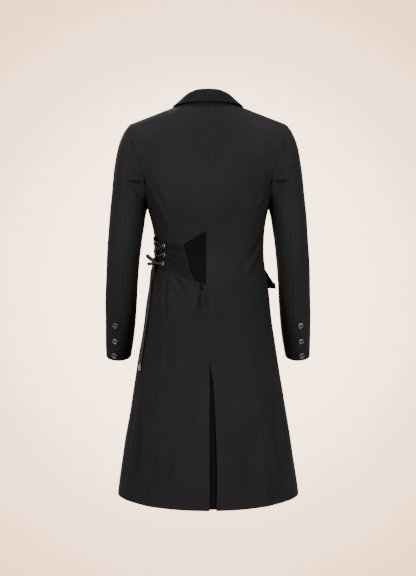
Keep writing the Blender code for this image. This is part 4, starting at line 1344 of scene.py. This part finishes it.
LACE_END_1 = (
    (145.4, 67.0, -426.3), (149.3, 61.3, -435.0), (152.5, 55.7, -444.0), (154.2, 51.0, -453.3),
    (155.0, 48.9, -463.4), (155.8, 48.9, -474.2), (156.4, 50.5, -485.2), (156.8, 52.5, -496.2),
    (157.9, 53.2, -507.2), (159.1, 54.3, -518.2), (160.0, 55.7, -529.2), (161.4, 56.3, -540.2),
    (162.8, 56.9, -551.2), (164.3, 58.1, -562.2), (166.1, 58.6, -573.2), (167.6, 58.8, -584.1),
    (169.4, 58.2, -595.1), (171.2, 57.8, -606.0), (173.0, 57.5, -617.0), (174.6, 57.6, -627.9),
    (175.8, 58.7, -638.9), (177.3, 59.4, -649.9), (179.0, 59.7, -660.8), (180.6, 60.2, -671.5),
    (182.6, 60.3, -682.3), (184.3, 60.6, -693.1), (185.8, 61.5, -703.9), (186.0, 65.3, -714.7),
)
LACE_END_2 = (
    (144.1, 70.0, -428.6), (148.0, 64.7, -437.4), (151.3, 59.5, -446.5), (153.1, 54.8, -455.9),
    (153.9, 52.9, -466.0), (154.4, 53.8, -476.7), (154.8, 55.5, -487.6), (155.2, 57.5, -498.5),
    (156.3, 58.2, -509.4), (157.4, 59.4, -520.3), (158.4, 60.8, -531.1), (159.7, 61.3, -542.0),
    (161.2, 62.0, -552.8), (162.6, 62.9, -563.7), (164.2, 63.8, -574.5), (165.9, 63.9, -585.4),
    (167.7, 63.3, -596.2), (169.5, 63.0, -607.0), (171.2, 62.8, -617.8), (172.8, 62.9, -628.7),
    (173.9, 64.1, -639.5), (175.3, 64.9, -650.3), (176.8, 65.3, -661.1), (178.4, 65.9, -671.7),
    (180.1, 66.0, -682.4), (181.7, 66.4, -693.1), (183.1, 67.3, -703.7), (183.3, 71.0, -714.4),
)


def run_along(line: np.ndarray) -> np.ndarray:
    """Measures the way along a line.

    Args:
        line: its points.

    Returns:
        The length from the start to each point.
    """
    steps = np.linalg.norm(np.diff(line, axis=0), axis=1)
    return np.concatenate([[0], np.cumsum(steps)])


@dataclass
class Lacing:
    """Eyelets, the lace through them, its bow, hanging ends and tips."""

    thick: float = 0.0052
    full: float = 0.0062
    sides: int = 14
    ring_step: float = 0.0013
    between: int = 12
    fewest: int = 8
    first_side: Place = (0.31, 0.52, 0.80)
    fitting_sides: int = 40
    eyelet: Profile = (
        # distance from the axis and height from the rim's foot, in millimetres
        (3.10, -2.30), (3.70, -2.30), (3.70, 0.00), (6.10, 0.00), (6.25, 0.25), (6.20, 0.60),
        (5.90, 0.95), (5.35, 1.18), (4.70, 1.20), (4.05, 1.08), (3.50, 0.75), (3.15, 0.20),
    )
    rim_thick: float = 0.0012
    tip: Profile = (
        # distance from the axis in millimetres, share of the length
        (2.10, -0.50), (2.60, -0.50), (2.88, -0.47), (2.90, -0.38), (2.62, -0.355),
        (2.62, -0.335), (2.90, -0.31), (2.90, 0.31), (2.62, 0.335), (2.62, 0.355),
        (2.90, 0.38), (2.88, 0.47), (2.60, 0.50), (2.10, 0.50),
    )
    tip_length: float = 0.0185
    knot_rings: Sequence[tuple[Place, float]] = (
        # axis of the wrap, distance of its middle line
        ((0.9, 0.35, 0.3), 0.00235), ((-0.35, 0.5, 0.85), 0.00215),
    )
    knot_steps: int = 25
    satin: Satin = Satin("lace_satin_braid")
    nickel: Metal = Metal("eyelet_nickel", (0.36, 0.36, 0.38), (0.06, 0.06, 0.065), 0.17, 0.55)

    def smooth(self, places: np.ndarray) -> np.ndarray:
        """Draws a smooth, evenly spaced line through some places.

        Args:
            places: the places.

        Returns:
            The line's points.
        """
        ends = np.vstack([2 * places[0] - places[1], places, 2 * places[-1] - places[-2]])
        dense = []
        for a, b, c, d in zip(ends, ends[1:], ends[2:], ends[3:]):
            for t in np.linspace(0, 1, self.between, endpoint=False):
                dense.append(0.5 * (2 * b + (c - a) * t + (2 * a - 5 * b + 4 * c - d) * t ** 2
                                    + (3 * b - a - 3 * c + d) * t ** 3))
        dense = np.array(dense + [places[-1]])
        run = run_along(dense)
        at = np.linspace(0, run[-1], max(self.fewest, int(run[-1] / self.ring_step)))
        return np.stack([np.interp(at, run, dense[:, k]) for k in range(3)], axis=1)

    def tube(self, name: str, line: np.ndarray, thick: float,
             closed: bool = False) -> Mesh:
        """Makes a round cord along a line.

        Args:
            name: the mesh's name.
            line: the points of its middle.
            thick: how thick it is.
            closed: whether it is a ring.

        Returns:
            The mesh, which keeps the angle and the length run for each point.
        """
        ways = np.gradient(line, axis=0)
        if closed:
            ways = np.roll(line, -1, axis=0) - np.roll(line, 1, axis=0)
        ways /= np.linalg.norm(ways, axis=1)[:, None]
        side = np.cross(ways[0], self.first_side)
        points, kept = [], []
        for place, way, far in zip(line, ways, run_along(line)):
            side = side - way * (side @ way)
            side /= np.linalg.norm(side)
            other = np.cross(way, side)
            for i in range(self.sides):
                angle = 2 * math.pi * i / self.sides
                points.append(place + (side * math.cos(angle) + other * math.sin(angle))
                              * thick / 2)
                kept.append((angle, far, 0.0))
        faces = ring_faces(len(line), self.sides, closed)
        if not closed:
            last = len(points) - self.sides
            faces.append(tuple(range(self.sides))[::-1])
            faces.append(tuple(range(last, len(points))))
        mesh = bpy.data.meshes.new(name)
        mesh.from_pydata([tuple(p) for p in points], [], faces)
        mesh.polygons.foreach_set("use_smooth", [len(p.vertices) == 4 for p in mesh.polygons])
        keep(mesh, "weave", np.array(kept))
        return mesh

    def cord(self, node: str, table: Sequence[Place], satin: Finish,
             thick: float) -> Piece:
        """Args:
            node: the solid that it stands for.
            table: its route in millimetres.
            satin: its finish.
            thick: how thick it is.

        Returns:
            The stretch.
        """
        line = self.smooth(np.array(table) * MM)
        piece = new_piece(node, self.tube(node + "_tube", line, thick), satin)
        return piece

    def build(self) -> list[Piece]:
        """Makes the lace and its metal.

        Returns:
            The pieces.
        """
        satin, nickel = self.satin.dress(), self.nickel.dress()
        made = []
        profile = [(r * MM, h * MM) for r, h in self.eyelet]
        for node in sorted(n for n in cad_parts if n.startswith("eyelet")):
            seat = seat_of(node)
            foot = Seat(seat.centre + seat.axis * (seat.high - self.rim_thick), seat.axis)
            made.append(fitting(node, foot, profile, nickel, self.fitting_sides))
        made.append(self.cord("lace_lacing", LACE_LACING, satin, self.thick))
        made.append(self.cord("lace_loop_up", LACE_LOOP_UP, satin, self.full))
        made.append(self.cord("lace_loop_down", LACE_LOOP_DOWN, satin, self.thick))
        profile = [(r * MM, share * self.tip_length) for r, share in self.tip]
        for number, table in ((1, LACE_END_1), (2, LACE_END_2)):
            node = f"lace_tip_{number}"
            tip = fitting(node, seat_of(node, long=True), profile, nickel, self.fitting_sides)
            made += [tip, self.cord(f"lace_end_{number}", table, satin, self.thick)]
        made.append(self.knot(satin))
        return made

    def knot(self, satin: Finish) -> Piece:
        """Makes the knot as two wraps of the lace round each other.

        Args:
            satin: its finish.

        Returns:
            The knot.
        """
        low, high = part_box("lace_knot")
        centre = (np.array(low) + np.array(high)) / 2
        work = bmesh.new()
        for way, reach in self.knot_rings:
            axis = Vector(way).normalized()
            side = axis.orthogonal().normalized()
            other = axis.cross(side)
            angles = np.linspace(0, 2 * math.pi, self.knot_steps, endpoint=False)
            ring = np.array([tuple(Vector(centre) + (side * math.cos(a) + other * math.sin(a))
                                   * reach) for a in angles])
            work.from_mesh(self.tube("lace_wrap", ring, self.thick, closed=True))
        mesh = bpy.data.meshes.new("lace_knot_wraps")
        work.to_mesh(mesh)
        work.free()
        return new_piece("lace_knot", mesh, satin)


@dataclass
class Studio:
    """Pale round paper cove, soft lights and the camera of the photograph."""

    floor: float = -1.42
    middle: float = 0.02
    reach: float = 5.0
    bend: float = 1.1
    bend_steps: int = 16
    top: float = 4.2
    sides: int = 96
    eye: Place = (0.0, 3.0, -0.49)
    lens: float = 68.19
    film: float = 36.0
    sight: float = 40.0
    lights: Sequence[tuple[str, Place, Place, float, float, Place]] = (
        # name, place, aimed at, size, power, colour
        ("key", (2.0, 2.3, 0.2), (0.0, 0.0, -0.75), 1.4, 54.0, (1.0, 0.995, 0.99)),
        ("fill", (-2.0, 2.3, -0.8), (0.0, 0.0, -0.85), 1.5, 50.0, (0.99, 0.99, 1.0)),
        ("top", (0.0, 0.4, 1.9), (0.0, 0.0, -0.2), 1.3, 38.0, (1.0, 0.99, 0.98)),
        ("front_soft", (0.9, -2.7, 0.8), (0.0, 0.0, -0.5), 1.8, 60.0, (1.0, 0.99, 0.98)),
    )
    paper: PaperSweep = PaperSweep()
    air: Place = (0.94, 0.92, 0.90)
    air_strength: float = 0.42

    def place_camera(self) -> None:
        """Puts the camera level, straight behind the coat."""
        data = bpy.data.cameras.new("photo_camera")
        data.lens = self.lens
        data.sensor_width = self.film
        data.clip_end = self.sight
        camera = shown("photo_camera", data)
        camera.location = self.eye
        camera.rotation_euler = (math.radians(90), 0.0, math.radians(180))
        bpy.context.scene.camera = camera

    def hang_lights(self) -> None:
        """Puts up the soft lights and the pale air."""
        for name, place, aim, size, power, colour in self.lights:
            data = bpy.data.lights.new(name, "AREA")
            data.shape = "DISK"
            data.size = size
            data.energy = power
            data.color = colour
            light = shown(name, data)
            light.location = place
            way = Vector(aim) - Vector(place)
            light.rotation_euler = way.to_track_quat("-Z", "Y").to_euler()
        world = bpy.data.worlds.new("studio_air")
        world.use_nodes = True
        back = world.node_tree.nodes["Background"]
        back.inputs[0].default_value = (*self.air, 1.0)
        back.inputs[1].default_value = self.air_strength
        bpy.context.scene.world = world

    def lay_paper(self) -> None:
        """Makes the round paper cove: a floor that curves up into its wall."""
        line = [(self.middle, self.floor), (self.reach - self.bend, self.floor)]
        for i in range(1, self.bend_steps + 1):
            angle = math.pi / 2 * i / self.bend_steps
            line.append((self.reach - self.bend * (1 - math.sin(angle)),
                         self.floor + self.bend * (1 - math.cos(angle))))
        line.append((self.reach, self.top))
        turns = [2 * math.pi * i / self.sides for i in range(self.sides)]
        points = [(r * math.sin(a), r * math.cos(a), z) for r, z in line for a in turns]
        faces = ring_faces(len(line), self.sides)
        faces.append(tuple(range(self.sides)))
        mesh = bpy.data.meshes.new("studio_floor")
        mesh.from_pydata(points, [], faces)
        mesh.polygons.foreach_set("use_smooth", [True] * len(faces))
        # The paper's glow is a painted pool of light; it gives no light to the coat
        mesh.materials.append(self.paper.dress())
        floor = shown("studio_floor", mesh)
        floor.visible_diffuse = False
        floor.visible_glossy = False


def main() -> None:
    """Builds the studio and each sub-assembly of the coat, in order."""
    logging.basicConfig(level=logging.INFO, format="%(name)s %(message)s")
    studio = Studio()
    studio.place_camera()
    lacing = Lacing().build()
    drape = Drape(creases_of(BODY_CREASES), BODY_NODES)
    trims = [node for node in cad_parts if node.startswith(TRIM_STARTS)]
    body = CoatBody().build(drape, solid_tree(SLEEVE_NODES), solid_tree(trims))
    sleeves = Sleeves().build(solid_tree(BODY_NODES))
    collar = CollarSet().build(drape)
    flaps = PocketFlaps().build(drape)
    tabs = WaistTabs().build()
    buttons = Buttons().build()
    for word, pieces in (("lacing", lacing), ("body", body), ("sleeves", sleeves),
                         ("collar", collar), ("flaps", flaps), ("tabs", tabs),
                         ("buttons", buttons)):
        LOG.info("%s: %d pieces", word, len(pieces))
    studio.hang_lights()
    studio.lay_paper()


if __name__ == "__main__":
    main()
